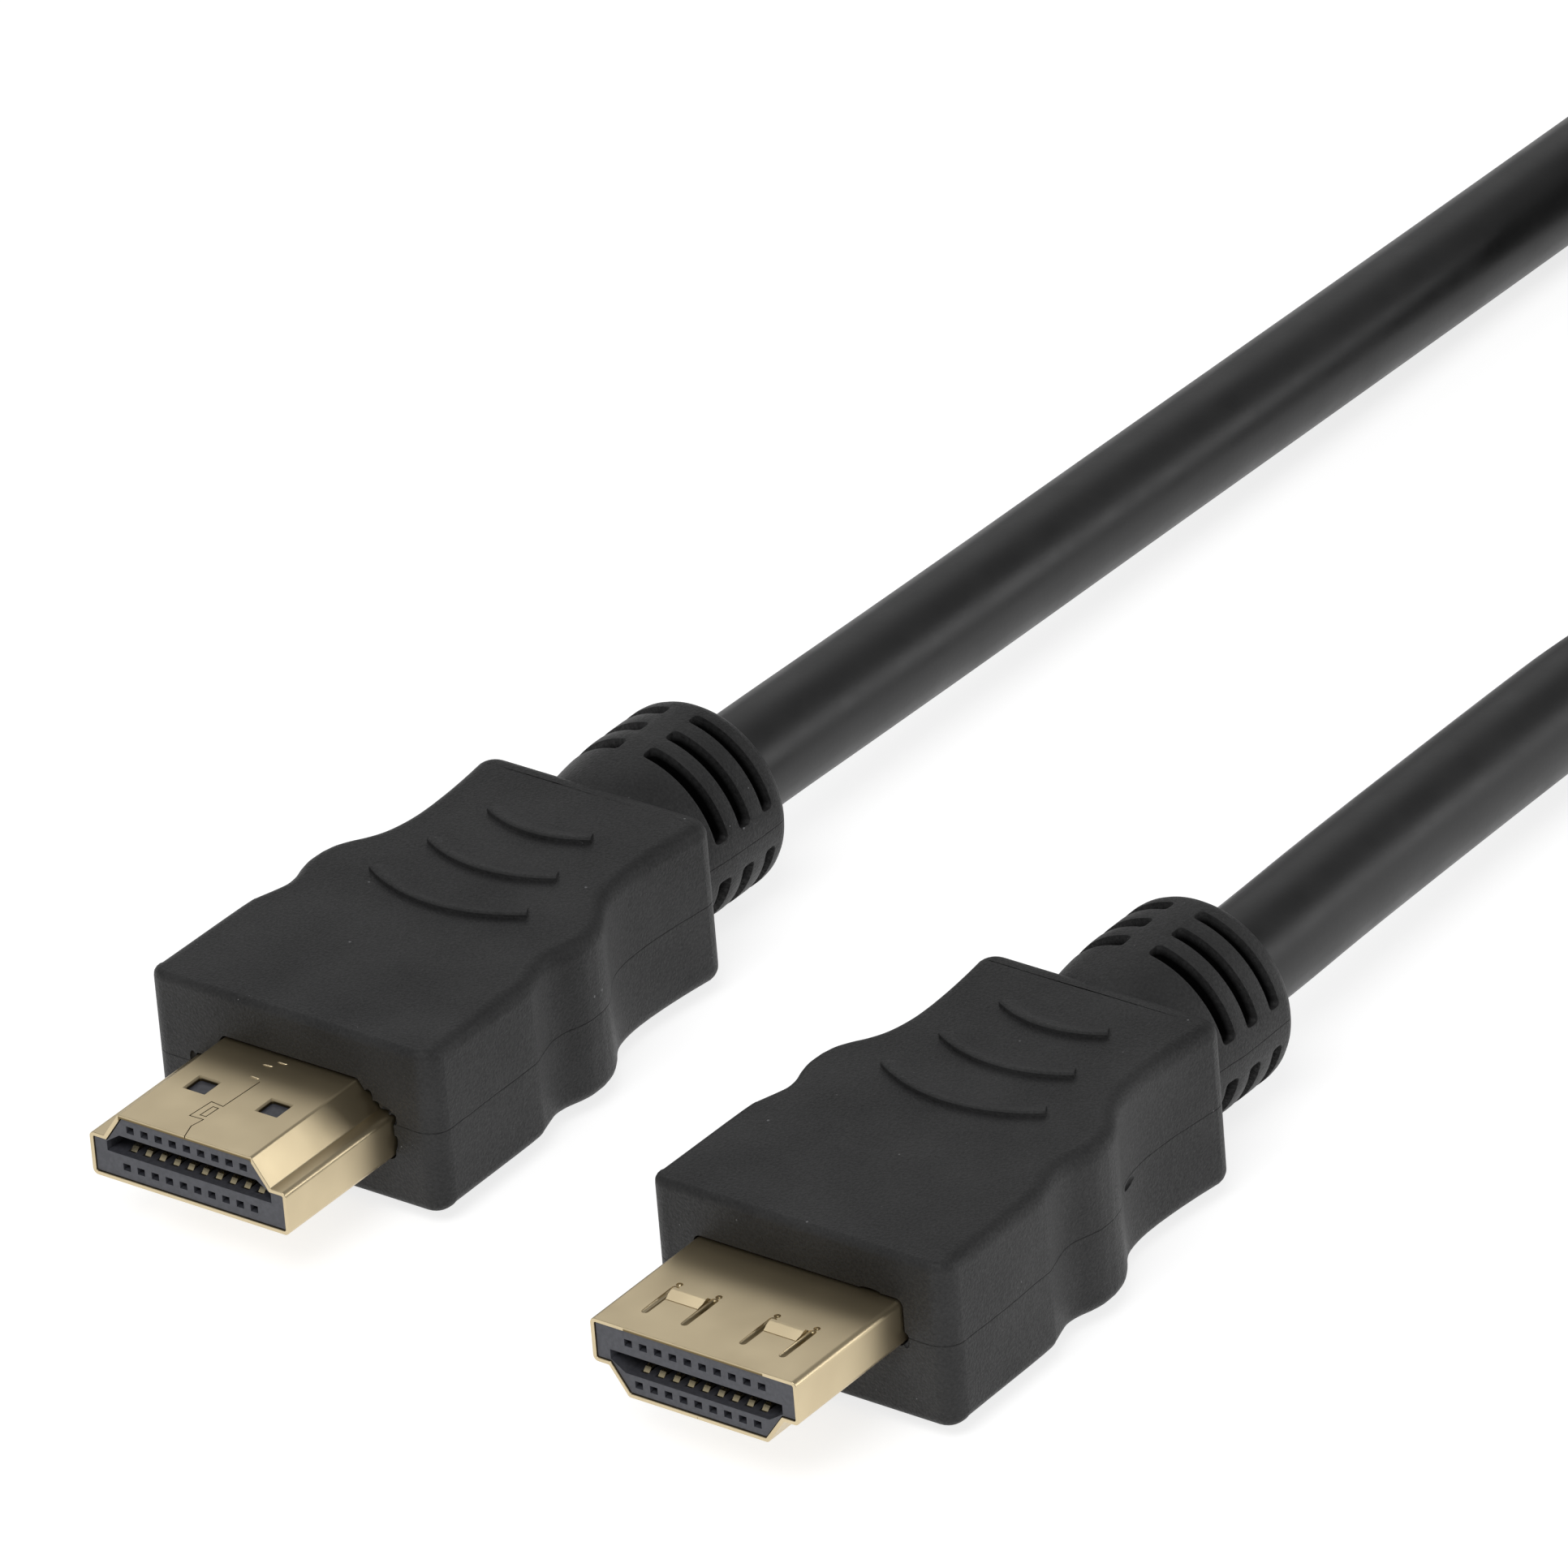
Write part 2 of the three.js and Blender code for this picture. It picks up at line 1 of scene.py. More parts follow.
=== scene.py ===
"""Dresses the audio and video cable: two moulded plugs, the cable between them and its coil.

The plugs are modelled in millimetres about their own axis, with the mating face at the origin and
the wide side of the metal shell up, and then put where the frame has them, in metres.
"""

import logging
import math
from dataclasses import dataclass
from enum import Enum
from typing import Callable, Iterable, Sequence

import bmesh
import bpy
from mathutils import Matrix, Vector


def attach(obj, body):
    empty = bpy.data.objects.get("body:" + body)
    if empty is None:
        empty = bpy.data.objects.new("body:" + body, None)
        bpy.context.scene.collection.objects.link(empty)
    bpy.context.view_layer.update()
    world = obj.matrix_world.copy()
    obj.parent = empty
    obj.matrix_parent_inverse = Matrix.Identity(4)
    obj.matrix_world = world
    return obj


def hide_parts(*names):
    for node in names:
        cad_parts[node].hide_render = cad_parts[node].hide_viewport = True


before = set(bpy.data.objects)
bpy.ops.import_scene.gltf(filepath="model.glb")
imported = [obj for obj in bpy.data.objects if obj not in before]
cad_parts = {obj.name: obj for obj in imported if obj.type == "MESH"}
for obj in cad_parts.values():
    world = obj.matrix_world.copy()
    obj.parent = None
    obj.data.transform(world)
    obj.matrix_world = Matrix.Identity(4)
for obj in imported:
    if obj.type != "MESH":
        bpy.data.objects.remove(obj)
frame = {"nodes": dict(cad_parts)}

logging.basicConfig(level=logging.INFO, format="%(message)s")
LOG = logging.getLogger("cable")

MM = 0.001
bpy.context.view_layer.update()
Point2 = tuple[float, float]
Point3 = tuple[float, float, float]
Piece = bpy.types.Object
Shape = bmesh.types.BMesh
Material = bpy.types.Material
Socket = bpy.types.NodeSocket

# Where the plugs' axes lie, in millimetres: either side of the middle, and over the surface. The
# right plug lies a little nearer the front.
AXIS_OFF = 19.13
AXIS_HEIGHT = 6.0
RIGHT_SHIFT = 4.18

WHITE = (1.0, 1.0, 1.0, 1.0)

# Nearer than this, in millimetres: a corner lies on a line, and two points are one.
TOUCHING = 1e-4
SAME_POINT = 2e-5


class Joining(Enum):
    """How one shape is combined with another."""

    ADD = "UNION"
    CUT = "DIFFERENCE"


class Rounding(Enum):
    """What is rounded: edges, or the corners of a flat face."""

    EDGES = "EDGES"
    CORNERS = "VERTICES"


class Side(Enum):
    """The two plugs. The left one is turned over, so its wide side is down."""

    LEFT = "left"
    RIGHT = "right"


@dataclass(frozen=True)
class Placement:
    """Where one plug lies.

    Attributes:
        side: Which plug it is.
        mating_face: The middle of its mating face, in millimetres.
        turned_over: Whether the wide side of the shell is down.
    """

    side: Side
    mating_face: Point3
    turned_over: bool

    def matrix(self) -> Matrix:
        """The way from the plug's own millimetres to the frame's metres."""
        turn = Matrix.Rotation(math.pi if self.turned_over else 0.0, 4, "Y")
        return Matrix.Scale(MM, 4) @ Matrix.Translation(Vector(self.mating_face)) @ turn

    def name(self, piece: str) -> str:
        """The name of one of this plug's pieces."""
        return f"{self.side.value}_{piece}"


PLACEMENTS = (
    Placement(Side.LEFT, (-AXIS_OFF, -22.21, AXIS_HEIGHT), True),
    Placement(Side.RIGHT, (AXIS_OFF, -22.21 - RIGHT_SHIFT, AXIS_HEIGHT), False),
)


# Shapes


def new_object(name: str, shape: Shape) -> Piece:
    """Makes an object from a bmesh, and frees the bmesh.

    Args:
        name: The object's name.
        shape: The shape, in the object's own coordinates.

    Returns:
        The new object, linked to the scene.
    """
    mesh = bpy.data.meshes.new(name)
    shape.to_mesh(mesh)
    shape.free()
    made = bpy.data.objects.new(name, mesh)
    bpy.context.scene.collection.objects.link(made)
    return made


def bake_modifiers(piece: Piece) -> None:
    """Replaces a piece's mesh by what its modifiers make of it."""
    graph = bpy.context.evaluated_depsgraph_get()
    mesh = bpy.data.meshes.new_from_object(piece.evaluated_get(graph))
    old = piece.data
    piece.modifiers.clear()
    piece.data = mesh
    mesh.name = old.name
    bpy.data.meshes.remove(old)


def discard(piece: Piece) -> None:
    """Removes a piece and its mesh."""
    mesh = piece.data
    bpy.data.objects.remove(piece)
    bpy.data.meshes.remove(mesh)


def loose_parts(tool: Piece) -> list[Piece]:
    """Takes a tool shape apart into its closed bodies, and removes the tool."""
    whole = bmesh.new()
    whole.from_mesh(tool.data)
    whole.verts.index_update()
    seen: set[int] = set()
    parts = []
    for start in whole.verts:
        if start.index in seen:
            continue
        seen.add(start.index)
        group = [start]
        for vert in group:
            for edge in vert.link_edges:
                other = edge.other_vert(vert)
                if other.index not in seen:
                    seen.add(other.index)
                    group.append(other)
        body = bmesh.new()
        copies = {vert.index: body.verts.new(vert.co) for vert in group}
        for face in dict.fromkeys(face for vert in group for face in vert.link_faces):
            body.faces.new([copies[vert.index] for vert in face.verts])
        bmesh.ops.recalc_face_normals(body, faces=body.faces)
        parts.append(new_object(tool.name, body))
    whole.free()
    discard(tool)
    return parts


def open_edges(piece: Piece) -> int:
    """Counts the edges of a piece that don't join exactly two faces."""
    shape = bmesh.new()
    shape.from_mesh(piece.data)
    count = sum(len(edge.link_faces) != 2 for edge in shape.edges)
    shape.free()
    return count


def join_shapes(base: Piece, tool: Piece, joining: Joining) -> None:
    """Adds each body of a tool shape to a base, or cuts it out, and removes the tool."""
    for part in loose_parts(tool):
        for piece in (part, base):
            if open_edges(piece):
                raise ValueError(f"{piece.name} has {open_edges(piece)} open edges")
        modifier = base.modifiers.new("join", "BOOLEAN")
        modifier.operation = joining.value
        modifier.solver = "MANIFOLD"
        modifier.object = part
        bake_modifiers(base)
        discard(part)


def soften(piece: Piece, width: float, segments: int, limit: float) -> None:
    """Rounds every edge sharper than a limit, as a mould does.

    Args:
        piece: The piece, still in millimetres.
        width: How far the rounding reaches, in millimetres.
        segments: How many faces the rounding has.
        limit: The sharpest angle that is left alone, in degrees.
    """
    bevel = piece.modifiers.new("soften", "BEVEL")
    bevel.width = width
    bevel.segments = segments
    bevel.limit_method = "ANGLE"
    bevel.angle_limit = math.radians(limit)
    bevel.miter_outer = "MITER_ARC"
    bevel.use_clamp_overlap = True
    bake_modifiers(piece)


def place(piece: Piece, matrix: Matrix, sharp: float = 38.0) -> None:
    """Moves a finished mesh to the frame, and shades it smooth but for its sharp edges.

    Args:
        piece: The piece, which keeps its object at the origin.
        matrix: The way from the piece's millimetres to the frame's metres.
        sharp: Edges over this angle stay crisp, in degrees.
    """
    shape = bmesh.new()
    shape.from_mesh(piece.data)
    bmesh.ops.remove_doubles(shape, verts=shape.verts, dist=SAME_POINT)
    bmesh.ops.dissolve_degenerate(shape, edges=shape.edges, dist=SAME_POINT)
    bmesh.ops.recalc_face_normals(shape, faces=shape.faces)
    for face in shape.faces:
        face.smooth = True
    for edge in shape.edges:
        flat = len(edge.link_faces) != 2
        edge.smooth = not flat and edge.calc_face_angle(0.0) < math.radians(sharp)
    shape.transform(matrix)
    shape.to_mesh(piece.data)
    shape.free()
    weight = piece.modifiers.new("weigh", "WEIGHTED_NORMAL")
    weight.keep_sharp = True
    weight.weight = 60
    bake_modifiers(piece)


def round_off(
    shape: Shape, geom: Sequence[object], reach: float, segments: int, rounding: Rounding
) -> None:
    """Rounds some edges of a shape, or some corners of a flat face.

    Args:
        shape: The bmesh that holds them.
        geom: The edges, or the vertices at the corners.
        reach: How far from them the rounding begins.
        segments: How many faces or edges the rounding has.
        rounding: Which of the two they are.
    """
    bmesh.ops.bevel(
        shape, geom=geom, offset=reach, offset_type="OFFSET", segments=segments, profile=0.5,
        affect=rounding.value, material=-1, clamp_overlap=True,
    )


def polygon(shape: Shape, points: Iterable[Point3]) -> bmesh.types.BMFace:
    """Adds one flat face through a few points."""
    return shape.faces.new([shape.verts.new(point) for point in points])


def extrude(shape: Shape, face: bmesh.types.BMFace, along: Point3) -> None:
    """Makes a closed prism from a face.

    Args:
        shape: The bmesh that holds the face.
        face: The prism's first end.
        along: How far and which way the other end lies.
    """
    made = bmesh.ops.extrude_face_region(shape, geom=[face], use_keep_orig=True)
    verts = [part for part in made["geom"] if isinstance(part, bmesh.types.BMVert)]
    bmesh.ops.translate(shape, verts=verts, vec=Vector(along))
    bmesh.ops.recalc_face_normals(shape, faces=shape.faces)


def turn_profile(
    shape: Shape, profile: Sequence[Point3], centre: Point3, axis: Point3, steps: int
) -> None:
    """Spins an open profile once round an axis and closes the poles.

    Args:
        shape: The bmesh to add to.
        profile: The points of the profile, from pole to pole.
        centre: A point on the axis.
        axis: The way of the axis.
        steps: How many faces go round.
    """
    verts = [shape.verts.new(point) for point in profile]
    edges = [shape.edges.new(pair) for pair in zip(verts, verts[1:])]
    bmesh.ops.spin(
        shape, geom=verts + edges, cent=centre, axis=axis, dvec=(0, 0, 0),
        angle=2 * math.pi, steps=steps, use_merge=True, use_duplicate=False,
    )
    bmesh.ops.remove_doubles(shape, verts=shape.verts, dist=TOUCHING)
    bmesh.ops.recalc_face_normals(shape, faces=shape.faces)


def sweep_section(
    shape: Shape, section: Sequence[Point3], centre: Point3, axis: Point3,
    sweep: float, steps: int,
) -> None:
    """Spins a closed section through part of a turn and closes both ends.

    Args:
        shape: The bmesh to add to.
        section: The points round the section, at the start of the sweep.
        centre: A point on the axis.
        axis: The way of the axis.
        sweep: The angle swept, in radians.
        steps: How many faces go along the sweep.
    """
    face = polygon(shape, section)
    bmesh.ops.spin(
        shape, geom=[face], cent=centre, axis=axis, dvec=(0, 0, 0),
        angle=sweep, steps=steps, use_merge=False, use_duplicate=False,
    )
    gaps = [edge for edge in shape.edges if len(edge.link_faces) == 1]
    bmesh.ops.holes_fill(shape, edges=gaps, sides=0)
    bmesh.ops.recalc_face_normals(shape, faces=shape.faces)


def stretched(middle: Sequence[float], size: Sequence[float], turn: float = 0.0) -> Matrix:
    """Stretches a unit shape, turns it about Z and puts it somewhere.

    Args:
        middle: Where its middle goes.
        size: How far it is stretched along each axis.
        turn: How far it is turned, in radians.

    Returns:
        The matrix that does so.
    """
    stretch = Matrix.Diagonal((*size, 1.0))
    return Matrix.Translation(middle) @ Matrix.Rotation(turn, 4, "Z") @ stretch


def box_between(shape: Shape, low: Point3, high: Point3) -> list[bmesh.types.BMVert]:
    """Adds a box given by two of its corners, and returns its vertices."""
    size = [b - a for a, b in zip(low, high)]
    middle = [(a + b) / 2 for a, b in zip(low, high)]
    return bmesh.ops.create_cube(shape, size=1.0, matrix=stretched(middle, size))["verts"]


def rounded_ring(corners: Sequence[Point2], radii: Sequence[float], steps: int) -> list[Point2]:
    """Rounds each corner of a closed outline by its own radius.

    Args:
        corners: The corners, in order.
        radii: The radius at each corner.
        steps: How many edges each arc has.

    Returns:
        The points of the rounded outline.
    """
    ring: list[Point2] = []
    for i, (corner, radius) in enumerate(zip(corners, radii)):
        here = Vector(corner)
        u = (Vector(corners[i - 1]) - here).normalized()
        v = (Vector(corners[(i + 1) % len(corners)]) - here).normalized()
        half = u.angle(v) / 2
        centre = here + (u + v).normalized() * (radius / math.sin(half))
        start = here + u * (radius / math.tan(half)) - centre
        turn = start.angle_signed(here + v * (radius / math.tan(half)) - centre)
        for k in range(steps + 1):
            ring.append(tuple(centre + Matrix.Rotation(-turn * k / steps, 2) @ start))
    return ring


def smooth_line(points: Sequence[Sequence[float]], per_span: int) -> list[Vector]:
    """A smooth line through every point, with equal steps in each span.

    Args:
        points: The points that the line passes through, flat or in space.
        per_span: How many steps each span between two points has.

    Returns:
        The points of the line, the first and the last among them.
    """
    knots = [Vector(point) for point in points]
    line: list[Vector] = []
    for i in range(len(knots) - 1):
        before = knots[i - 1] if i else knots[0] * 2 - knots[1]
        after = knots[i + 2] if i + 2 < len(knots) else knots[-1] * 2 - knots[-2]
        a, b = knots[i], knots[i + 1]
        ta, tb = (b - before) / 2, (after - a) / 2
        for k in range(per_span):
            t = k / per_span
            line.append(
                a * (2 * t**3 - 3 * t**2 + 1) + b * (3 * t**2 - 2 * t**3)
                + ta * (t**3 - 2 * t**2 + t) + tb * (t**3 - t**2)
            )
    line.append(knots[-1].copy())
    return line


# Finishes


class Nodes:
    """A material's node tree, with short ways to add and join nodes."""

    def __init__(self, name: str) -> None:
        """Starts a material with one Principled surface.

        Args:
            name: The material's name.
        """
        self.material = bpy.data.materials.new(name)
        self.material.use_nodes = True
        self.tree = self.material.node_tree
        self.tree.nodes.clear()
        self.surface = self.add("ShaderNodeBsdfPrincipled")
        self.add("ShaderNodeOutputMaterial", Surface=self.surface.outputs["BSDF"])

    def add(self, kind: str, **values: object) -> bpy.types.Node:
        """Adds a node, and sets its properties or, by name, its inputs."""
        node = self.tree.nodes.new(kind)
        for key, value in values.items():
            if hasattr(node, key):
                setattr(node, key, value)
            else:
                self.feed(node.inputs[key.replace("_", " ")], value)
        return node

    def feed(self, socket: Socket, value: object) -> None:
        """Joins another node's output to an input, or sets a plain value on it."""
        if isinstance(value, Socket):
            self.tree.links.new(value, socket)
        else:
            socket.default_value = value

    def set(self, **values: object) -> None:
        """Feeds the surface's own inputs, by name."""
        for key, value in values.items():
            self.feed(self.surface.inputs[key.replace("_", " ")], value)

    def place_of(self) -> Socket:
        """The piece's own coordinates, in metres."""
        return self.add("ShaderNodeTexCoord").outputs["Object"]

    def axes(self, where: Socket) -> tuple[Socket, ...]:
        """Splits a place into x, y and z."""
        return tuple(self.add("ShaderNodeSeparateXYZ", Vector=where).outputs)

    def noise(self, where: Socket, size_mm: float, detail: float, rough: float = 0.5) -> Socket:
        """A cloudy pattern whose blobs have a given size in millimetres."""
        node = self.add(
            "ShaderNodeTexNoise", Vector=where, Scale=1.0 / (size_mm * MM), Detail=detail,
            Roughness=rough,
        )
        return node.outputs["Fac"]

    def ramp(self, value: Socket, low: float, high: float, at_low: float, at_high: float) -> Socket:
        """Maps a value between two limits to a value between two others."""
        node = self.add(
            "ShaderNodeMapRange", Value=value, From_Min=low, From_Max=high, To_Min=at_low,
            To_Max=at_high,
        )
        return node.outputs["Result"]

    def math(self, operation: str, *inputs: object) -> Socket:
        """Works out one sum from sockets and numbers."""
        node = self.add("ShaderNodeMath", operation=operation)
        for socket, value in zip(node.inputs, inputs):
            self.feed(socket, value)
        return node.outputs["Value"]

    def mix(self, value: Socket, under: Socket | Point3, over: Point3) -> Socket:
        """Lays a plain colour over another colour by a value from 0 to 1."""
        node = self.add("ShaderNodeMix", data_type="RGBA", Factor=value)
        self.feed(node.inputs[6], under if isinstance(under, Socket) else (*under, 1.0))
        self.feed(node.inputs[7], (*over, 1.0))
        return node.outputs[2]

    def bump(self, height: Socket, depth_mm: float, strength: float, **under: Socket) -> Socket:
        """Turns a height into a tilt of the surface, over another Normal where one is given."""
        node = self.add(
            "ShaderNodeBump", Height=height, Strength=strength, Distance=depth_mm * MM, **under,
        )
        return node.outputs["Normal"]


@dataclass(frozen=True)
class MouldedBlack:
    """Black moulded plastic with a fine spark-eroded grain, a parting line at mid height, and
    painted shade deep in the strain relief's slots.

    Attributes:
        name: The material's name.
        dark: The darkest base colour.
        light: The lightest base colour.
        roughness: The middle roughness.
        grain_mm: The size of the grain.
        grain_depth_mm: How deep the grain is.
        clouds_mm: The size of the cloudy unevenness under it.
        line_colour: The colour down in the parting line.
        line_half: From its middle, where the line begins to rise and where it ends, in metres.
        line_wander: How far the line strays to either side, in metres.
        dust_colour: The colour of the pale specks.
        dust_scale: How many specks there are room for along a metre.
        dust_size: The largest speck, as a share of that room.
        slot_shade_colour: The colour of the painted shade deep in the strain relief's slots.
        slot_shade_radius: Nearer to the axis than this the painted shade makes the slots deep
            black, in metres.
        slot_shade_fade: How far outside it the painted shade has gone, in metres.
        slot_shade_reach: Where the painted shade begins and ends behind the left plug's boot, in
            metres.
    """

    name: str = "moulded_black"
    dark: Point3 = (0.011, 0.011, 0.0112)
    light: Point3 = (0.036, 0.036, 0.0362)
    roughness: float = 0.5
    grain_mm: float = 0.17
    grain_depth_mm: float = 0.06
    clouds_mm: float = 6.0
    line_colour: Point3 = (0.004, 0.004, 0.004)
    line_half: Point2 = (0.00002, 0.00006)
    line_wander: float = 0.00016
    dust_colour: Point3 = (0.16, 0.16, 0.165)
    dust_scale: float = 900.0
    dust_size: float = 0.09
    slot_shade_colour: Point3 = (0.002, 0.002, 0.002)
    slot_shade_radius: float = 0.0053
    slot_shade_fade: float = 0.0004
    slot_shade_reach: Point2 = (0.0193, 0.0252)

    def build(self) -> Material:
        """Makes the material."""
        nodes = Nodes(self.name)
        where = nodes.place_of()
        grain = nodes.noise(where, self.grain_mm, 3.0, 0.6)
        clouds = nodes.noise(where, self.clouds_mm, 2.0)
        parts = [nodes.ramp(pattern, 0.3, 0.7, 0.0, 0.5) for pattern in (clouds, grain)]
        colour = nodes.mix(nodes.math("ADD", *parts), self.dark, self.light)
        line = self.parting_line(nodes, where)
        colour = nodes.mix(nodes.ramp(line, 0.0, 1.0, 0.75, 0.0), colour, self.line_colour)
        colour = nodes.mix(self.dust(nodes, where), colour, self.dust_colour)
        # Painted shade: the slots of the strain relief are darkened to near black and their
        # reflections weakened.
        slot_shade_amount = self.painted_slot_shade(nodes, where)
        nodes.set(
            Base_Color=nodes.mix(slot_shade_amount, colour, self.slot_shade_colour),
            Roughness=nodes.ramp(grain, 0.3, 0.7, self.roughness + 0.06, self.roughness - 0.06),
            Normal=nodes.bump(line, 0.05, 1.0, Normal=nodes.bump(grain, self.grain_depth_mm, 1.0)),
            Specular_IOR_Level=nodes.ramp(slot_shade_amount, 0.0, 1.0, 0.5, 0.1),
            IOR=1.32,
        )
        return nodes.material

    def dust(self, nodes: Nodes, where: Socket) -> Socket:
        """Sparse pale specks, as rubbed high points of the grain."""
        specks = nodes.add("ShaderNodeTexVoronoi", Vector=where, Scale=self.dust_scale)
        size = nodes.ramp(nodes.noise(where, 1.9, 2.0), 0.45, 0.75, 0.0, self.dust_size)
        return nodes.math("LESS_THAN", specks.outputs["Distance"], size)

    def painted_slot_shade(self, nodes: Nodes, where: Socket) -> Socket:
        """Painted shade: a value that rises from 0 to 1 down into the slots of the strain reliefs,
        where it darkens the colour and weakens the reflections.
        """
        x, y, z = nodes.axes(where)
        across = nodes.math("SUBTRACT", nodes.math("ABSOLUTE", x), AXIS_OFF * MM)
        high = nodes.math("SUBTRACT", z, AXIS_HEIGHT * MM)
        squares = [nodes.math("MULTIPLY", off, off) for off in (across, high)]
        off_axis = nodes.math("SQRT", nodes.math("ADD", *squares))
        begin = self.slot_shade_radius
        depth = nodes.ramp(off_axis, begin, begin + self.slot_shade_fade, 1.0, 0.0)
        right = nodes.math("MULTIPLY", nodes.math("GREATER_THAN", x, 0.0), RIGHT_SHIFT * MM)
        along = nodes.math("ADD", y, right)
        start, end = self.slot_shade_reach
        behind = nodes.math("GREATER_THAN", along, start)
        within = nodes.math("MULTIPLY", behind, nodes.math("LESS_THAN", along, end))
        return nodes.math("MULTIPLY", depth, within)

    def parting_line(self, nodes: Nodes, where: Socket) -> Socket:
        """A height that dips in a thin, slightly wandering line round the moulding."""
        clouds = nodes.noise(where, 5.0, 2.0)
        wander = nodes.ramp(clouds, 0.0, 1.0, -self.line_wander, self.line_wander)
        height = nodes.math("ADD", nodes.axes(where)[2], wander)
        off = nodes.math("ABSOLUTE", nodes.math("SUBTRACT", height, AXIS_HEIGHT * MM))
        return nodes.ramp(off, *self.line_half, 0.0, 1.0)


@dataclass(frozen=True)
class PaleGold:
    """Pale gold plating over pressed sheet metal, satin and slightly uneven, with painted shade
    down in the pressed grooves and the seam.

    Attributes:
        name: The material's name.
        dull: The colour where the plating is duller.
        bright: The colour where it is brighter.
        roughness: The middle roughness.
        groove_shade_colour: The painted shade down in the pressed grooves, which also darkens the
            joint of the sheet's seam.
        groove_shade_level: The heights between which the painted shade takes over, in metres.
        groove_shade_floor: The height below which the painted shade doesn't, in metres.
        groove_shade_reach: How far from each plug's axis the painted shade reaches, in metres.
    """

    name: str = "pale_gold"
    dull: Point3 = (0.59, 0.488, 0.315)
    bright: Point3 = (0.67, 0.56, 0.365)
    roughness: float = 0.36
    groove_shade_colour: Point3 = (0.15, 0.11, 0.05)
    groove_shade_level: Point2 = (0.00807, 0.00819)
    groove_shade_floor: float = 0.0078
    groove_shade_reach: float = 0.0047

    def build(self) -> Material:
        """Makes the material."""
        nodes = Nodes(self.name)
        where = nodes.place_of()
        clouds = nodes.noise(where, 3.0, 1.5, 0.5)
        fine = nodes.noise(where, 0.16, 1.5)
        colour = nodes.mix(nodes.ramp(clouds, 0.2, 0.8, 0.0, 1.0), self.dull, self.bright)
        # Painted shade darkens everything below the top faces near each axis: the pressed grooves
        # and the seam.
        nodes.set(
            Base_Color=nodes.mix(self.painted_groove_shade(nodes, where), colour, self.groove_shade_colour),
            Roughness=nodes.ramp(clouds, 0.2, 0.8, self.roughness + 0.03, self.roughness - 0.03),
            Normal=nodes.bump(fine, 0.003, 0.4),
            Metallic=1.0,
        )
        return nodes.material

    def painted_groove_shade(self, nodes: Nodes, where: Socket) -> Socket:
        """Painted shade: a value that rises from 0 to 1 below the level of the shells' top faces.
        """
        x, _, z = nodes.axes(where)
        across = nodes.math("SUBTRACT", nodes.math("ABSOLUTE", x), AXIS_OFF * MM)
        near = nodes.math("LESS_THAN", nodes.math("ABSOLUTE", across), self.groove_shade_reach)
        above = nodes.math("GREATER_THAN", z, self.groove_shade_floor)
        below = nodes.ramp(z, *self.groove_shade_level, 1.0, 0.0)
        return nodes.math("MULTIPLY", nodes.math("MULTIPLY", near, above), below)


@dataclass(frozen=True)
class SlatePlastic:
    """Slate grey glass-filled plastic of the contact block.

    Attributes:
        name: The material's name.
        dark: The darker colour.
        light: The lighter colour.
    """

    name: str = "slate_plastic"
    dark: Point3 = (0.044, 0.0455, 0.0545)
    light: Point3 = (0.06, 0.0615, 0.073)

    def build(self) -> Material:
        """Makes the material."""
        nodes = Nodes(self.name)
        fine = nodes.noise(nodes.place_of(), 0.25, 3.0)
        colour = nodes.mix(nodes.ramp(fine, 0.35, 0.65, 0.0, 1.0), self.dark, self.light)
        nodes.set(Base_Color=colour, Roughness=0.45, Normal=nodes.bump(fine, 0.01, 0.5))
        return nodes.material


@dataclass(frozen=True)
class CableJacket:
    """Smooth black cable jacket, satin, with faint clouds.

    Attributes:
        name: The material's name.
        dark: The darker colour.
        light: The lighter colour.
        roughness: The middle roughness.
    """

    name: str = "cable_jacket"
    dark: Point3 = (0.009, 0.009, 0.0092)
    light: Point3 = (0.0145, 0.0145, 0.0147)
    roughness: float = 0.42

    def build(self) -> Material:
        """Makes the material."""
        nodes = Nodes(self.name)
        where = nodes.place_of()
        clouds = nodes.noise(where, 4.0, 4.0, 0.6)
        fine = nodes.noise(where, 0.3, 2.0)
        nodes.set(
            Base_Color=nodes.mix(nodes.ramp(clouds, 0.3, 0.7, 0.0, 1.0), self.dark, self.light),
            Roughness=nodes.ramp(clouds, 0.3, 0.7, self.roughness - 0.05, self.roughness + 0.05),
            Normal=nodes.bump(fine, 0.01, 0.5),
            IOR=1.43,
        )
        return nodes.material


@dataclass(frozen=True)
class WovenStrap:
    """Black hook and loop strap: a fine looped pile in rows.

    Attributes:
        name: The material's name.
        dark: The painted shade between the loops.
        light: The lighter colour painted on top of them.
        row_mm: The width of one row of loops.
    """

    name: str = "woven_strap"
    dark: Point3 = (0.006, 0.006, 0.006)
    light: Point3 = (0.03, 0.03, 0.03)
    row_mm: float = 0.8

    def build(self) -> Material:
        """Makes the material."""
        nodes = Nodes(self.name)
        where = nodes.place_of()
        scale = 1.0 / (self.row_mm * MM)
        cells = nodes.add("ShaderNodeTexVoronoi", Vector=where, Scale=scale, Randomness=0.55)
        loops = nodes.ramp(cells.outputs["Distance"], 0.0, 0.6, 1.0, 0.0)
        fuzz = nodes.noise(where, 0.15, 3.0)
        height = nodes.math("ADD", loops, nodes.math("MULTIPLY", fuzz, 0.5))
        # Painted shade: the colour follows the height, dark down between the loops and light on
        # their tops.
        colour = nodes.mix(nodes.ramp(height, 0.2, 1.2, 0.0, 1.0), self.dark, self.light)
        nodes.set(Base_Color=colour, Normal=nodes.bump(height, 0.2, 0.8))
        nodes.set(Roughness=0.9, Sheen_Weight=0.3)
        return nodes.material


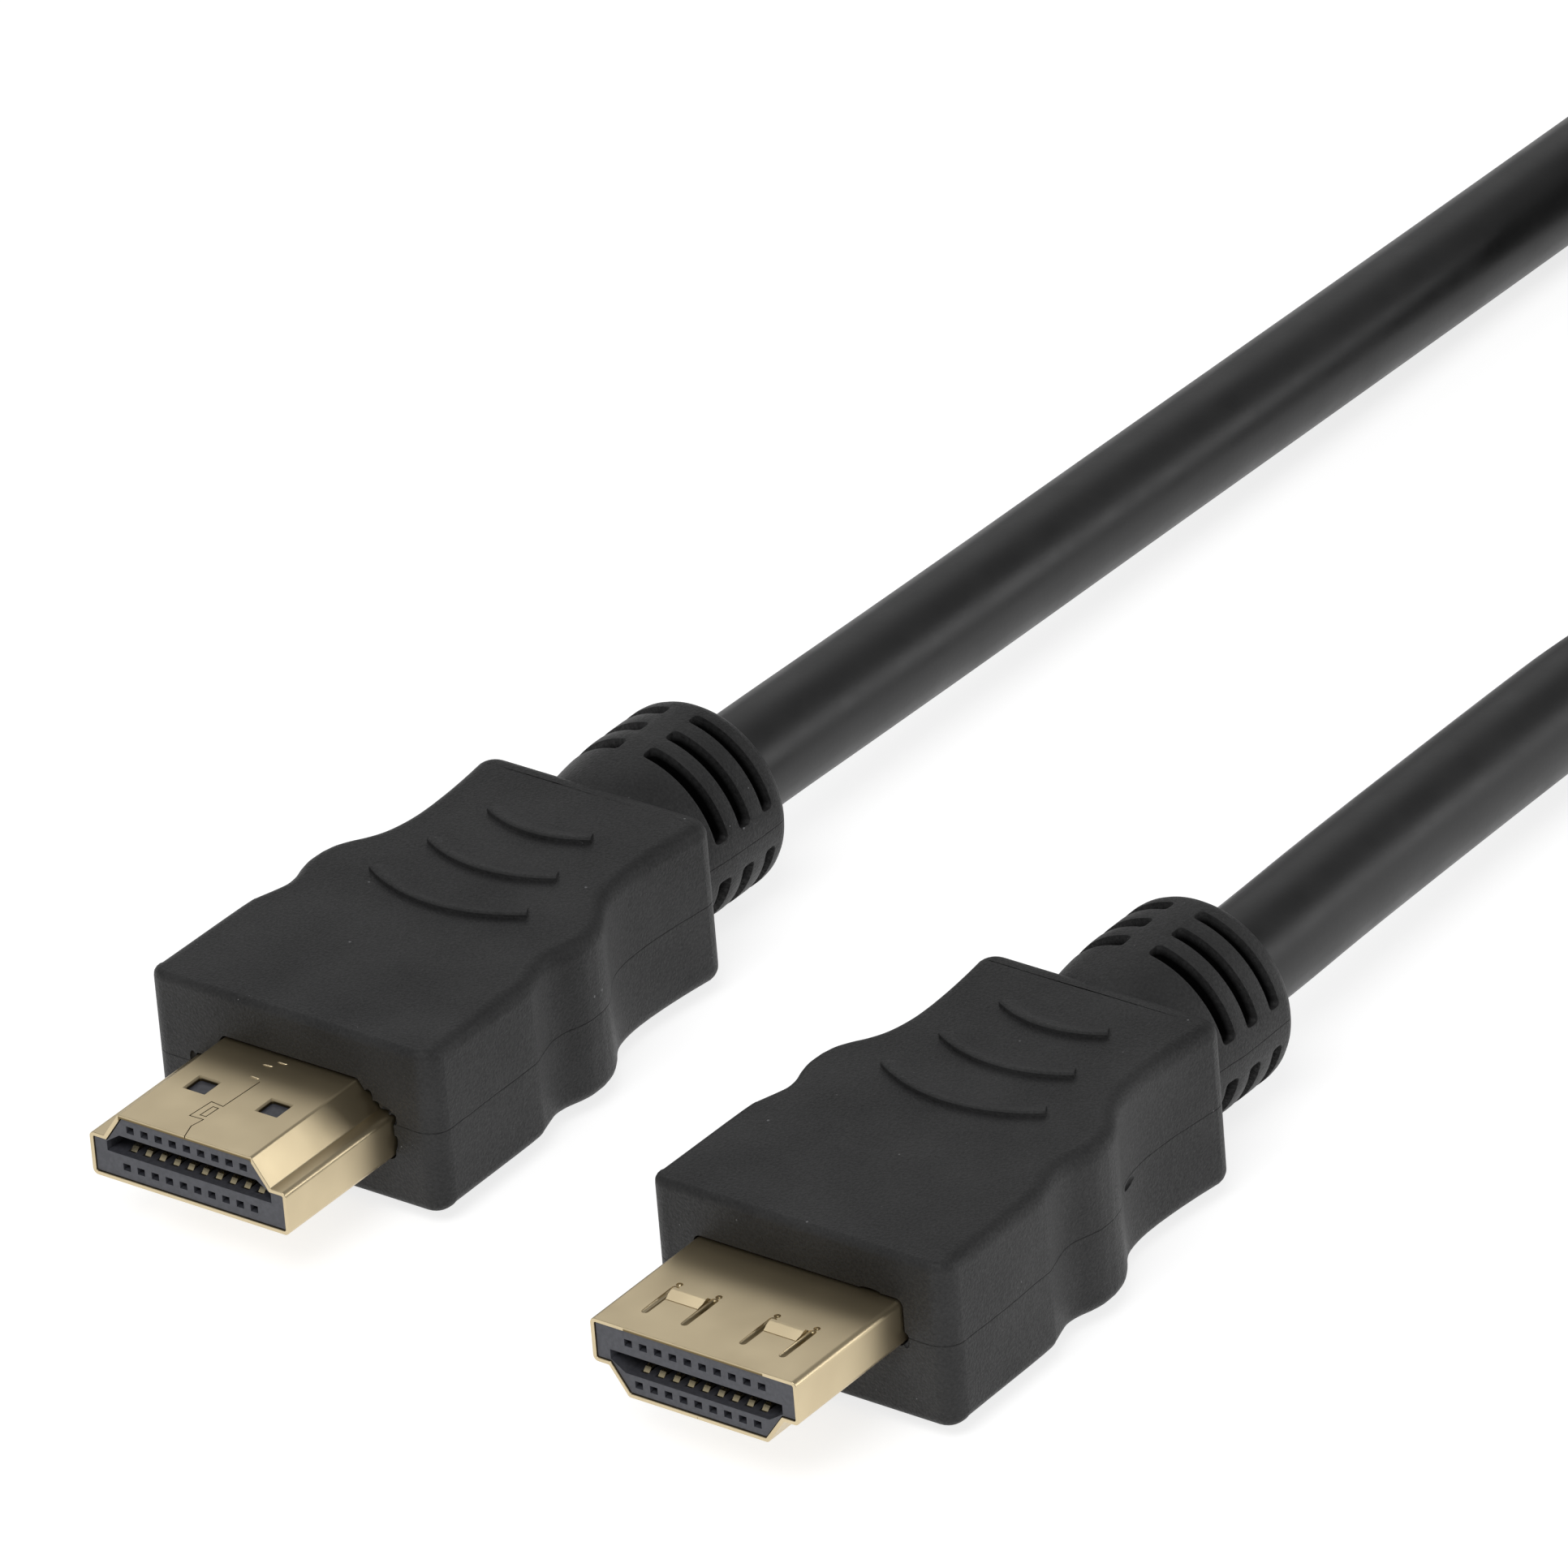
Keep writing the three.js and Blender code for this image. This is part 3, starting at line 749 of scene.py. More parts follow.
@dataclass(frozen=True)
class WhiteSurface:
    """The plain white surface that everything lies on.

    Attributes:
        name: The material's name.
        grey: How much light it gives back.
        glow: How much it gives off itself, so it looks plain white.
    """

    name: str = "white_surface"
    grey: float = 0.42
    glow: float = 0.78

    def build(self) -> Material:
        """Makes the material."""
        nodes = Nodes(self.name)
        nodes.set(Base_Color=(self.grey, self.grey, self.grey, 1.0), Roughness=0.8)
        nodes.set(Emission_Color=WHITE, Emission_Strength=self.glow)
        return nodes.material


def dress(piece: Piece, material: Material) -> None:
    """Gives a piece one material."""
    piece.data.materials.clear()
    piece.data.materials.append(material)


# The plug


@dataclass
class DSection:
    """The D section of the shell, wide side up, in millimetres."""

    width: float = 13.9
    height: float = 4.45
    narrow: float = 9.4
    side: float = 2.76
    shelf: float = 1.05
    radii: tuple[float, ...] = (0.24, 0.1, 0.34, 0.36)

    def corners(self, inset: float = 0.0) -> list[Point2]:
        """The eight corners, each side moved inwards by an inset."""
        top, wide, low_x = self.height / 2, self.width / 2, self.narrow / 2
        shelf, low = wide - self.shelf, top - self.side
        half = [(low_x, -top), (shelf, low), (wide, low), (wide, top)]
        ring = half + [(-x, z) for x, z in reversed(half)]
        lines = []
        for (x0, z0), (x1, z1) in zip(ring, ring[1:] + ring[:1]):
            along = Vector((x1 - x0, z1 - z0)).normalized()
            lines.append((Vector((x0, z0)) + Vector((-along.y, along.x)) * inset, along))
        moved = []
        for (p, u), (q, v) in zip(lines[-1:] + lines[:-1], lines):
            t = ((q - p).x * v.y - (q - p).y * v.x) / (u.x * v.y - u.y * v.x)
            moved.append(tuple(p + u * t))
        return moved

    def prism(self, name: str, inset: float, start: float, length: float,
              steps: int = 6) -> Piece:
        """A prism of this section along the plug's axis.

        Args:
            name: The object's name.
            inset: How far the section is shrunk, or grown where it is negative.
            start: Where it starts, from the mating face.
            length: How long it is.
            steps: How many faces round each corner has.

        Returns:
            The prism, in the plug's millimetres.
        """
        shape = bmesh.new()
        radii = [max(radius - inset, 0.08) for radius in self.radii]
        ring = rounded_ring(self.corners(inset), radii + radii[::-1], steps)
        extrude(shape, polygon(shape, [(x, start, z) for x, z in ring]), (0, length, 0))
        return new_object(name, shape)


@dataclass
class MetalShell:
    """The pressed shell: latch grooves and bars on the wide side, holes and a seam on the other."""

    section: DSection
    wall: float = 0.25
    length: float = 14.6
    latch_offset: float = 3.3
    latch_spacing: float = 2.66
    groove_width: float = 0.48
    groove_depth: float = 0.2
    groove: Point2 = (1.75, 4.9)
    bar: Point2 = (3.5, 4.42)
    bar_height: float = 0.3
    dimple_radius: float = 0.2
    hole_offset: float = 2.55
    hole_size: float = 1.38
    hole_centre: float = 4.9
    hole_corner: float = 0.16
    lip_reach: Point2 = (0.13, -0.01)
    lip_depth: float = 0.14
    lip_middle: float = 0.04
    seam_width: float = 0.065
    seam_depth: float = 0.14
    seams: tuple[tuple[Point2, ...], ...] = (
        ((-0.12, -0.2), (0.31, 1.06), (0.14, 1.95), (1.1, 1.92), (0.95, 3.71), (0.06, 3.61),
         (-0.1, 6.7)),
        ((0.62, 2.25), (0.22, 2.27), (0.16, 3.32), (0.54, 3.32), (0.62, 2.25)),
    )
    marks: tuple[Point3, ...] = (
        (0.46, 7.0, 0.0), (0.62, 8.4, -8.0), (0.05, 9.0, -5.0),
    )
    mark_size: Point3 = (0.34, 0.1, 0.05)

    def build(self, name: str) -> Piece:
        """Makes the shell in the plug's millimetres."""
        shell = self.section.prism(name, 0.0, 0.0, self.length)
        inner = self.section.prism("hollow", self.wall, -1.0, self.length + 2.0, 3)
        join_shapes(shell, inner, Joining.CUT)
        soften(shell, width=0.09, segments=3, limit=60.0)
        join_shapes(shell, self.bars(), Joining.ADD)
        join_shapes(shell, self.grooves(), Joining.CUT)
        join_shapes(shell, self.holes(), Joining.CUT)
        join_shapes(shell, self.seam(), Joining.CUT)
        join_shapes(shell, self.weld_marks(), Joining.ADD)
        return shell

    def bars(self) -> Piece:
        """The raised bars: each rises from the front and drops at its back."""
        top = self.section.height / 2
        low, high = self.bar
        half = (self.latch_spacing - self.groove_width) / 2 + 0.06
        profile = [
            (low, top - 0.15), (low, top + 0.03), (low + 0.62, top + self.bar_height * 0.9),
            (low + 0.7, top + self.bar_height), (high - 0.06, top + self.bar_height),
            (high, top + self.bar_height * 0.8), (high, top - 0.15),
        ]
        shape = bmesh.new()
        for side in (-1, 1):
            x = side * self.latch_offset - half
            face = polygon(shape, [(x, y, z) for y, z in profile])
            extrude(shape, face, (2 * half, 0, 0))
        return new_object("bars", shape)

    def grooves(self) -> Piece:
        """The pressed grooves with their dimples, and the dip behind each bar."""
        top = self.section.height / 2
        shape = bmesh.new()
        for side in (-1, 1):
            for edge in (-1, 1):
                x = side * self.latch_offset + edge * self.latch_spacing / 2
                self.channel(shape, x)
                spot = Matrix.Translation((x, self.groove[1] + 0.2, top - 0.01))
                bmesh.ops.create_uvsphere(
                    shape, u_segments=24, v_segments=12, radius=self.dimple_radius, matrix=spot,
                )
            half = (self.latch_spacing - self.groove_width) / 2
            centre = side * self.latch_offset
            box_between(
                shape, (centre - half, self.bar[1] + 0.02, top - 0.1),
                (centre + half, self.bar[1] + 0.3, top + 1.0),
            )
        return new_object("grooves", shape)

    def channel(self, shape: Shape, x: float) -> None:
        """Adds the cutter of one groove: round ended and round bottomed, deeper at the back.

        Args:
            shape: The bmesh to add to.
            x: The groove's distance from the middle of the shell.
        """
        radius = self.groove_width / 2
        start, end = self.groove[0] + radius, self.groove[1] - radius
        high = self.section.height / 2
        made = bmesh.ops.create_uvsphere(shape, u_segments=24, v_segments=16, radius=radius)
        front = [vert for vert in made["verts"] if vert.co.y < -1e-5]
        back = [vert for vert in made["verts"] if vert.co.y > 1e-5]
        middle = [vert for vert in made["verts"] if abs(vert.co.y) <= 1e-5]
        bmesh.ops.scale(shape, verts=made["verts"], vec=(1.0, 1.0, self.groove_depth / radius))
        bmesh.ops.translate(shape, verts=front, vec=(0, start, 0.06))
        bmesh.ops.translate(shape, verts=back, vec=(0, end, 0))
        bmesh.ops.translate(shape, verts=middle, vec=(0, (start + end) / 2, 0.03))
        bmesh.ops.translate(shape, verts=made["verts"], vec=(x, 0, high))

    def holes(self) -> Piece:
        """The two square holes through the narrow side, with sloped lips."""
        top = self.section.height / 2
        half = self.hole_size / 2
        shape = bmesh.new()
        for side in (-1, 1):
            x = side * self.hole_offset
            verts = box_between(
                shape, (x - half, self.hole_centre - half, -top - 1.0),
                (x + half, self.hole_centre + half, -top + self.wall * 1.5),
            )
            uprights = dict.fromkeys(
                link for vert in verts for link in vert.link_edges
                if abs(link.verts[0].co.z - link.verts[1].co.z) > 0.5
            )
            round_off(shape, list(uprights), self.hole_corner, 3, Rounding.EDGES)
            middle = (x, self.hole_centre, -top + self.lip_middle)
            matrix = stretched(middle, (1.0, 1.0, 1.0), math.pi / 4)
            outer, inner = ((half + reach) * math.sqrt(2.0) for reach in self.lip_reach)
            bmesh.ops.create_cone(
                shape, cap_ends=True, segments=4, radius1=outer, radius2=inner,
                depth=self.lip_depth, matrix=matrix,
            )
        return new_object("holes", shape)

    def seam(self) -> Piece:
        """The thin joint of the sheet, with its tab."""
        top = self.section.height / 2
        shape = bmesh.new()
        for run in self.seams:
            for start, end in zip(run, run[1:]):
                along = Vector(end) - Vector(start)
                middle = (Vector(end) + Vector(start)) / 2
                size = (self.seam_width, along.length + self.seam_width, 2 * self.seam_depth)
                turn = math.atan2(-along.x, along.y)
                matrix = stretched((middle.x, middle.y, -top), size, turn)
                bmesh.ops.create_cube(shape, size=1.0, matrix=matrix)
        return new_object("seam", shape)

    def weld_marks(self) -> Piece:
        """The small raised marks near the boot on the narrow side."""
        top = self.section.height / 2
        shape = bmesh.new()
        for x, y, turn in self.marks:
            matrix = stretched((x, y, -top), self.mark_size, math.radians(turn))
            bmesh.ops.create_uvsphere(shape, u_segments=16, v_segments=8, radius=1.0, matrix=matrix)
        return new_object("weld_marks", shape)


@dataclass
class MouldedBoot:
    """The moulded boot: waisted body, arched grip ridges, and a slotted strain relief."""

    section: DSection
    front: float = 9.6
    length: float = 29.4
    height: float = 10.39
    edge: float = 0.95
    front_edge: float = 0.42
    corner: float = 1.3
    front_half: float = 10.08
    rear_half: float = 8.05
    rear_step: float = 0.75
    rear_steps: int = 8
    side_line: tuple[Point2, ...] = (
        (10.02, 8.6), (9.84, 9.9), (9.5, 11.0), (9.32, 11.8), (9.4, 12.7), (9.68, 13.6),
        (9.86, 14.5), (9.84, 15.6), (9.6, 16.6), (9.12, 17.5), (8.55, 18.3), (8.08, 19.2),
        (7.78, 20.3), (7.62, 21.6), (7.6, 23.0), (7.68, 24.6), (7.84, 26.4),
    )
    ridges: tuple[Point3, ...] = ((5.6, 1.65, 23.7), (4.6, 1.25, 28.2), (3.7, 1.0, 32.9))
    narrow_side_shift: float = -0.8
    ridge_height: float = 0.33
    ridge_width: float = 1.3
    relief_length: float = 9.6
    relief_radius: float = 6.0
    neck: tuple[Point2, ...] = (
        (4.7, -2.8), (4.95, -1.5), (5.17, -0.9), (5.39, -0.3), (5.57, 0.4), (5.72, 1.3),
        (5.88, 2.6), (6.0, 4.4),
    )
    shoulder: float = 1.2
    slots: tuple[Point2, ...] = ((2.75, 1.1), (4.9, 1.05), (7.1, 0.9))
    slot_depth: float = 2.2
    slot_corner: float = 0.28
    creases: tuple[float, ...] = (9.9, 13.6, 15.6, 23.0)
    flaws: tuple[tuple[Point3, Point3], ...] = (
        ((-5.45, 9.6, -1.3), (0.3, 0.35, 0.55)), ((-5.85, 9.6, -0.85), (0.6, 0.35, 0.34)),
        ((-6.45, 9.6, -0.8), (0.55, 0.35, 0.22)), ((-7.1, 9.6, -0.35), (0.26, 0.3, 0.4)),
        ((-7.15, 9.6, 1.2), (0.2, 0.25, 0.5)), ((7.1, 9.6, -0.2), (0.24, 0.3, 0.5)),
        ((4.9, 9.6, 2.35), (0.7, 0.2, 0.12)),
    )
    nick: tuple[Point3, Point3] = ((8.02, 29.46, -0.45), (0.36, 0.95, 0.26))
    side_rib: float = 24.0
    top_rib: float = 17.0
    cable_radius: float = 3.26
    pocket_clearance: float = 0.12
    pocket_depth: float = 5.3
    softening: float = 0.12

    @property
    def root(self) -> float:
        """Where the body ends and the neck begins."""
        return self.front + self.length

    def build(self, name: str) -> Piece:
        """Makes the boot in the plug's millimetres."""
        relief = self.relief()
        join_shapes(relief, self.slot_cutters(), Joining.CUT)
        soften(relief, self.softening, segments=2, limit=42.0)
        boot = self.body(name)
        join_shapes(boot, self.grip(), Joining.ADD)
        pocket = self.section.prism(
            "pocket", -self.pocket_clearance, self.front - 1.0, 1.0 + self.pocket_depth,
        )
        join_shapes(boot, pocket, Joining.CUT)
        soften(boot, self.softening, segments=2, limit=42.0)
        join_shapes(boot, relief, Joining.ADD)
        join_shapes(boot, self.flaw_cutters(), Joining.CUT)
        join_shapes(boot, self.cable_hole(), Joining.CUT)
        return boot

    def body(self, name: str) -> Piece:
        """The waisted block with rounded edges."""
        side = [Vector((x, self.front + y)) for x, y in self.side_line]
        right = [Vector((self.front_half, self.front + self.corner)), *side,
                 Vector((self.rear_half, self.root - self.corner))]
        heights = [y for _, y in self.side_line]
        breaks = [0, *(1 + heights.index(y) for y in self.creases), len(right) - 1]
        line = [right[0]]
        for first, last in zip(breaks, breaks[1:]):
            line += smooth_line(right[first:last + 1], 4)[1:]
        shape = bmesh.new()
        ring = [(self.front_half, self.front), *line, (self.rear_half, self.root)]
        points = [(x, y, -self.height / 2) for x, y in ring]
        steps = range(self.rear_steps, -self.rear_steps - 1, -1)
        rear = [(self.rear_step * k, self.root, -self.height / 2) for k in steps]
        points += rear + [(-x, y, z) for x, y, z in reversed(points)]
        face = polygon(shape, points)
        square = [
            vert for vert in face.verts if abs(vert.co.x) > self.rear_half - TOUCHING
            and min(abs(vert.co.y - self.front), abs(vert.co.y - self.root)) < TOUCHING
        ]
        round_off(shape, square, self.corner * 0.98, 6, Rounding.CORNERS)
        extrude(shape, list(shape.faces)[0], (0, 0, self.height))
        weight = shape.edges.layers.float.new("bevel_weight_edge")
        for edge in shape.edges:
            first, last = edge.verts
            if abs(first.co.z - last.co.z) < 1e-5:
                edge[weight] = self.rim_radius((first.co.y + last.co.y) / 2) / self.edge
        body = new_object(name, shape)
        bevel = body.modifiers.new("rim", "BEVEL")
        bevel.width = self.edge
        bevel.segments = 10
        bevel.limit_method = "WEIGHT"
        bevel.use_clamp_overlap = False
        bake_modifiers(body)
        return body

    def rim_radius(self, y: float) -> float:
        """How round the rim is: crisp at the front, softer along the sides and the back."""
        along = min(max((y - self.front) / (1.6 * self.corner), 0.0), 1.0)
        return self.front_edge + (self.edge - self.front_edge) * along * along * (3 - 2 * along)

    def relief(self) -> Piece:
        """The turned neck and strain relief, sunk into the body."""
        r, rear = self.relief_radius, self.root + self.relief_length
        flare = smooth_line([(radius, self.root + y) for radius, y in self.neck], 3)
        profile = [(0.0, flare[0].y), *[tuple(point) for point in flare], (r, rear - self.shoulder)]
        for k in range(1, 7):
            angle = math.pi / 2 * k / 6
            profile.append((
                r - self.shoulder * (1 - math.cos(angle)),
                rear - self.shoulder * (1 - math.sin(angle)),
            ))
        profile.append((0.0, rear))
        shape = bmesh.new()
        turn_profile(shape, [(x, y, 0.0) for x, y in profile], (0, 0, 0), (0, 1, 0), 144)
        return new_object("relief", shape)

    def grip(self) -> Piece:
        """The arched ridges on both broad faces: steep in front, and running out behind."""
        shape = bmesh.new()
        for half, rise, on_wide_side in self.ridges:
            radius = (half**2 + rise**2) / (2 * rise)
            reach = math.asin(half / radius)
            for up in (1, -1):
                middle = on_wide_side if up > 0 else on_wide_side + self.narrow_side_shift
                face = up * self.height / 2
                section = [
                    (0.0, -0.5), (0.0, self.ridge_height * 0.8), (0.12, self.ridge_height),
                    (0.4, self.ridge_height * 0.92),
                    (self.ridge_width * 0.75, self.ridge_height * 0.35),
                    (self.ridge_width, -0.02), (self.ridge_width, -0.5),
                ]
                centre = middle + radius
                points = [
                    ((out - radius) * math.sin(reach), centre + (out - radius) * math.cos(reach),
                     face + up * high)
                    for out, high in section
                ]
                sweep_section(shape, points, (0, centre, 0), (0, 0, 1), 2 * reach, 28)
        return new_object("grip", shape)

    def slot_cutters(self) -> Piece:
        """The slots of the strain relief, four in each of three rows."""
        inner, outer = self.relief_radius - self.slot_depth, self.relief_radius + 1.0
        shape = bmesh.new()
        for start, width in self.slots:
            y0 = self.root + start
            for half_turn in (0, 180):
                for low, high in (
                    (self.side_rib / 2, 90 - self.top_rib / 2),
                    (90 + self.top_rib / 2, 180 - self.side_rib / 2),
                ):
                    angle = math.radians(half_turn + low)
                    corners = ((inner, y0), (outer, y0), (outer, y0 + width), (inner, y0 + width))
                    section = [(r * math.cos(angle), y, r * math.sin(angle)) for r, y in corners]
                    sweep = math.radians(high - low)
                    sweep_section(shape, section, (0, 0, 0), (0, -1, 0), sweep, 14)
        ends = [
            edge for edge in shape.edges
            if edge.calc_length() > 1.0 + self.slot_depth * 0.9
            and abs(edge.verts[0].co.y - edge.verts[1].co.y) < 1e-5
            and edge.calc_face_angle(0.0) > 1.0
        ]
        round_off(shape, ends, self.slot_corner, 4, Rounding.EDGES)
        return new_object("slot_cutters", shape)

    def flaw_cutters(self) -> Piece:
        """The small hollows where the moulding meets the shell, and a nick on the parting line."""
        shape = bmesh.new()
        for middle, size in (*self.flaws, self.nick):
            bmesh.ops.create_uvsphere(
                shape, u_segments=14, v_segments=10, radius=1.0, matrix=stretched(middle, size),
            )
        return new_object("flaws", shape)

    def cable_hole(self) -> Piece:
        """The hole at the back that the cable goes into."""
        shape = bmesh.new()
        rear = self.root + self.relief_length
        matrix = Matrix.Translation((0, rear - 1.0, 0)) @ Matrix.Rotation(math.pi / 2, 4, "X")
        bmesh.ops.create_cone(
            shape, cap_ends=True, segments=64, radius1=self.cable_radius, radius2=self.cable_radius,
            depth=3.4, matrix=matrix,
        )
        return new_object("cable_hole", shape)


@dataclass
class Plug:
    """One plug: shell, contact block, contacts and boot."""

    placement: Placement
    shell: MetalShell
    boot: MouldedBoot

    def build(self, finishes: dict[str, Material]) -> list[Piece]:
        """Builds and dresses the plug.

        Args:
            finishes: The finished materials by their slots.

        Returns:
            Every piece of the plug, the kept frame nodes among them.
        """
        pieces = []
        for kind, maker in (("shell", self.shell.build), ("boot", self.boot.build)):
            piece = maker(self.placement.name(f"{kind}_dressed"))
            place(piece, self.placement.matrix())
            dress(piece, finishes[kind])
            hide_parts(self.placement.name(kind))
            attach(piece, "root")
            pieces.append(piece)
            faces = len(piece.data.polygons)
            LOG.info("%s: %d faces, %d open edges", piece.name, faces, open_edges(piece))
        pieces += self.kept(finishes)
        return pieces

    def kept(self, finishes: dict[str, Material]) -> list[Piece]:
        """Gives the contact block and the contacts of the frame their finishes."""
        nodes = frame["nodes"]
        block = nodes[self.placement.name("contact_block")]
        dress(block, finishes["contact_block"])
        contacts = [
            node for name, node in sorted(nodes.items()) if node is not block
            and name.startswith(self.placement.side.value) and "_contact_" in name
        ]
        for contact in contacts:
            dress(contact, finishes["contacts"])
        LOG.info("%s: %d contacts", self.placement.side.value, len(contacts))
        return [block, *contacts]


# The cable


@dataclass
class Cable:
    """The cable from plug to plug: two leads, and the spare length in a coil between them."""

    diameter: float = 6.46
    centre: Point2 = (23.4, 143.0)
    inner_turn: float = 25.4
    bottom_turns: float = 2.75
    turns: float = 5.625
    first_turn_slack: float = 0.56
    slack_turns: float = 0.6
    climb: Point2 = (2.45, 0.45)
    tie_angle: float = 70.0
    tie_lift: float = 0.8
    tie_lift_spread: float = 34.0
    rest_lift: float = 0.04
    points_per_turn: int = 24
    exit: Point3 = (-AXIS_OFF, 26.39, AXIS_HEIGHT)
    left_lead: tuple[Point3, ...] = (
        (-19.13, 24.19, 6.0), (-19.13, 28.0, 5.98), (-19.2, 33.0, 5.85), (-19.35, 40.0, 5.55),
        (-19.52, 52.0, 5.15), (-19.75, 68.0, 4.7), (-19.9, 84.0, 4.3), (-20.12, 100.0, 3.85),
        (-20.27, 112.0, 3.55), (-20.33, 123.0, 3.36), (-20.33, 133.0, 3.27),
    )
    right_lead: tuple[Point3, ...] = (
        (49.7, 107.1, 9.9), (44.0, 101.4, 8.95), (37.2, 94.55, 7.65), (31.0, 88.35, 6.5),
        (26.6, 83.9, 5.75), (23.3, 80.1, 5.25), (20.7, 75.8, 4.9), (18.75, 71.2, 4.65),
        (17.6, 66.3, 4.5), (17.25, 62.0, 4.5), (17.3, 58.0, 4.62), (17.7, 50.0, 5.0),
        (18.17, 41.0, 5.4), (18.6, 34.0, 5.72), (18.95, 29.0, 5.92), (19.12, 24.0, 6.0),
        (19.13, 20.01, 6.0),
    )

    def coil_point(self, turn: float) -> Point3:
        """A point of the coil, which winds inwards below, climbs, and winds outwards above."""
        d = self.diameter
        if turn < self.bottom_turns:
            radius = self.inner_turn + d * (self.bottom_turns - turn)
            radius += self.first_turn_slack * max(1.0 - turn / self.slack_turns, 0.0)
        else:
            radius = self.inner_turn + d * (turn - self.bottom_turns)
        climbed = min(max((turn - self.climb[0]) / self.climb[1], 0.0), 1.0)
        climbed = climbed * climbed * (3 - 2 * climbed)
        angle = math.pi - 2 * math.pi * turn
        off = (math.degrees(angle) - self.tie_angle + 180.0) % 360.0 - 180.0
        near = math.exp(-((off / self.tie_lift_spread) ** 2))
        lift = self.rest_lift + (self.tie_lift - self.rest_lift) * near
        return (
            self.centre[0] + radius * math.cos(angle),
            self.centre[1] + radius * math.sin(angle),
            lift + d / 2 + d * climbed,
        )

    def route(self) -> list[Vector]:
        """The whole centreline, in millimetres, from the left plug to the right one."""
        steps = int(self.turns * self.points_per_turn)
        coil = [self.coil_point(self.turns * k / steps) for k in range(steps + 1)]
        hand = [*self.left_lead, *coil, *self.right_lead]
        return smooth_line(hand, 3)

    def build(self, finish: Material, far_pieces: list[Piece]) -> Piece:
        """Args:
            finish: The jacket's material.
            far_pieces: The pieces on its far end, and the tie; not used.

        Returns:
            The cable.
        """
        line = [point * MM for point in self.route()]
        curve = bpy.data.curves.new("cable", "CURVE")
        curve.dimensions = "3D"
        curve.twist_mode = "MINIMUM"
        curve.bevel_depth = self.diameter / 2 * MM
        curve.bevel_resolution = 10
        curve.use_fill_caps = True
        spline = curve.splines.new("POLY")
        spline.points.add(len(line) - 1)
        for point, place_at in zip(spline.points, line):
            point.co = (*place_at, 1.0)
        spline.use_smooth = True
        cable = bpy.data.objects.new("cable", curve)
        bpy.context.scene.collection.objects.link(cable)
        dress(cable, finish)
        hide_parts("left_lead", "right_lead", "coil")
        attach(cable, "root")
        return cable


@dataclass
class CoilTie:
    """The hook and loop strap round the coil, as one closed band."""

    cable: Cable
    low: Point2 = (21.1, 0.25)
    high: Point2 = (47.75, 14.28)
    thickness: float = 0.5
    width: float = 12.0
    corner: float = 2.4

    def build(self, finish: Material) -> Piece:
        """Makes the strap as a closed band with rounded corners."""
        shape = bmesh.new()
        (x0, z0), (x1, z1) = self.low, self.high
        ring = polygon(shape, [(x0, 0, z0), (x1, 0, z0), (x1, 0, z1), (x0, 0, z1)])
        round_off(shape, list(ring.verts), self.corner, 8, Rounding.CORNERS)
        ring = list(shape.faces)[0]
        edges = list(ring.edges)
        shape.faces.remove(ring)
        made = bmesh.ops.extrude_edge_only(shape, edges=edges)
        verts = [part for part in made["geom"] if isinstance(part, bmesh.types.BMVert)]
        bmesh.ops.translate(shape, verts=verts, vec=(0, self.width, 0))
        bmesh.ops.translate(shape, verts=shape.verts, vec=(0, -self.width / 2, 0))
        bmesh.ops.recalc_face_normals(shape, faces=shape.faces)
        tie = new_object("tie_dressed", shape)
        wall = tie.modifiers.new("wall", "SOLIDIFY")
        wall.thickness = self.thickness
        wall.offset = 0.0
        wall.use_even_offset = True
        bake_modifiers(tie)
        soften(tie, width=0.12, segments=2, limit=50.0)
        matrix = (
            Matrix.Scale(MM, 4)
            @ Matrix.Translation((*self.cable.centre, 0.0))
            @ Matrix.Rotation(math.radians(self.cable.tie_angle), 4, "Z")
        )
        place(tie, matrix)
        dress(tie, finish)
        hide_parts("tie")
        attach(tie, "root")
        LOG.info("tie: %d faces", len(tie.data.polygons))
        return tie


# The studio


@dataclass(frozen=True)
class Lamp:
    """One soft box.

    Attributes:
        name: The lamp's name.
        at: Where it hangs, in metres.
        aim: Where it points, in metres.
        size: Its width and height, in metres.
        power: Its power, in watts.
    """

    name: str
    at: Point3
    aim: Point3
    size: Point2
    power: float

    def build(self) -> Piece:
        """Hangs the lamp."""
        light = bpy.data.lights.new(self.name, "AREA")
        light.shape = "RECTANGLE"
        light.size, light.size_y = self.size
        light.energy = self.power
        lamp = bpy.data.objects.new(self.name, light)
        lamp.location = self.at
        lamp.rotation_mode = "QUATERNION"
        lamp.rotation_quaternion = (Vector(self.aim) - Vector(self.at)).to_track_quat("-Z", "Y")
        bpy.context.scene.collection.objects.link(lamp)
        return lamp


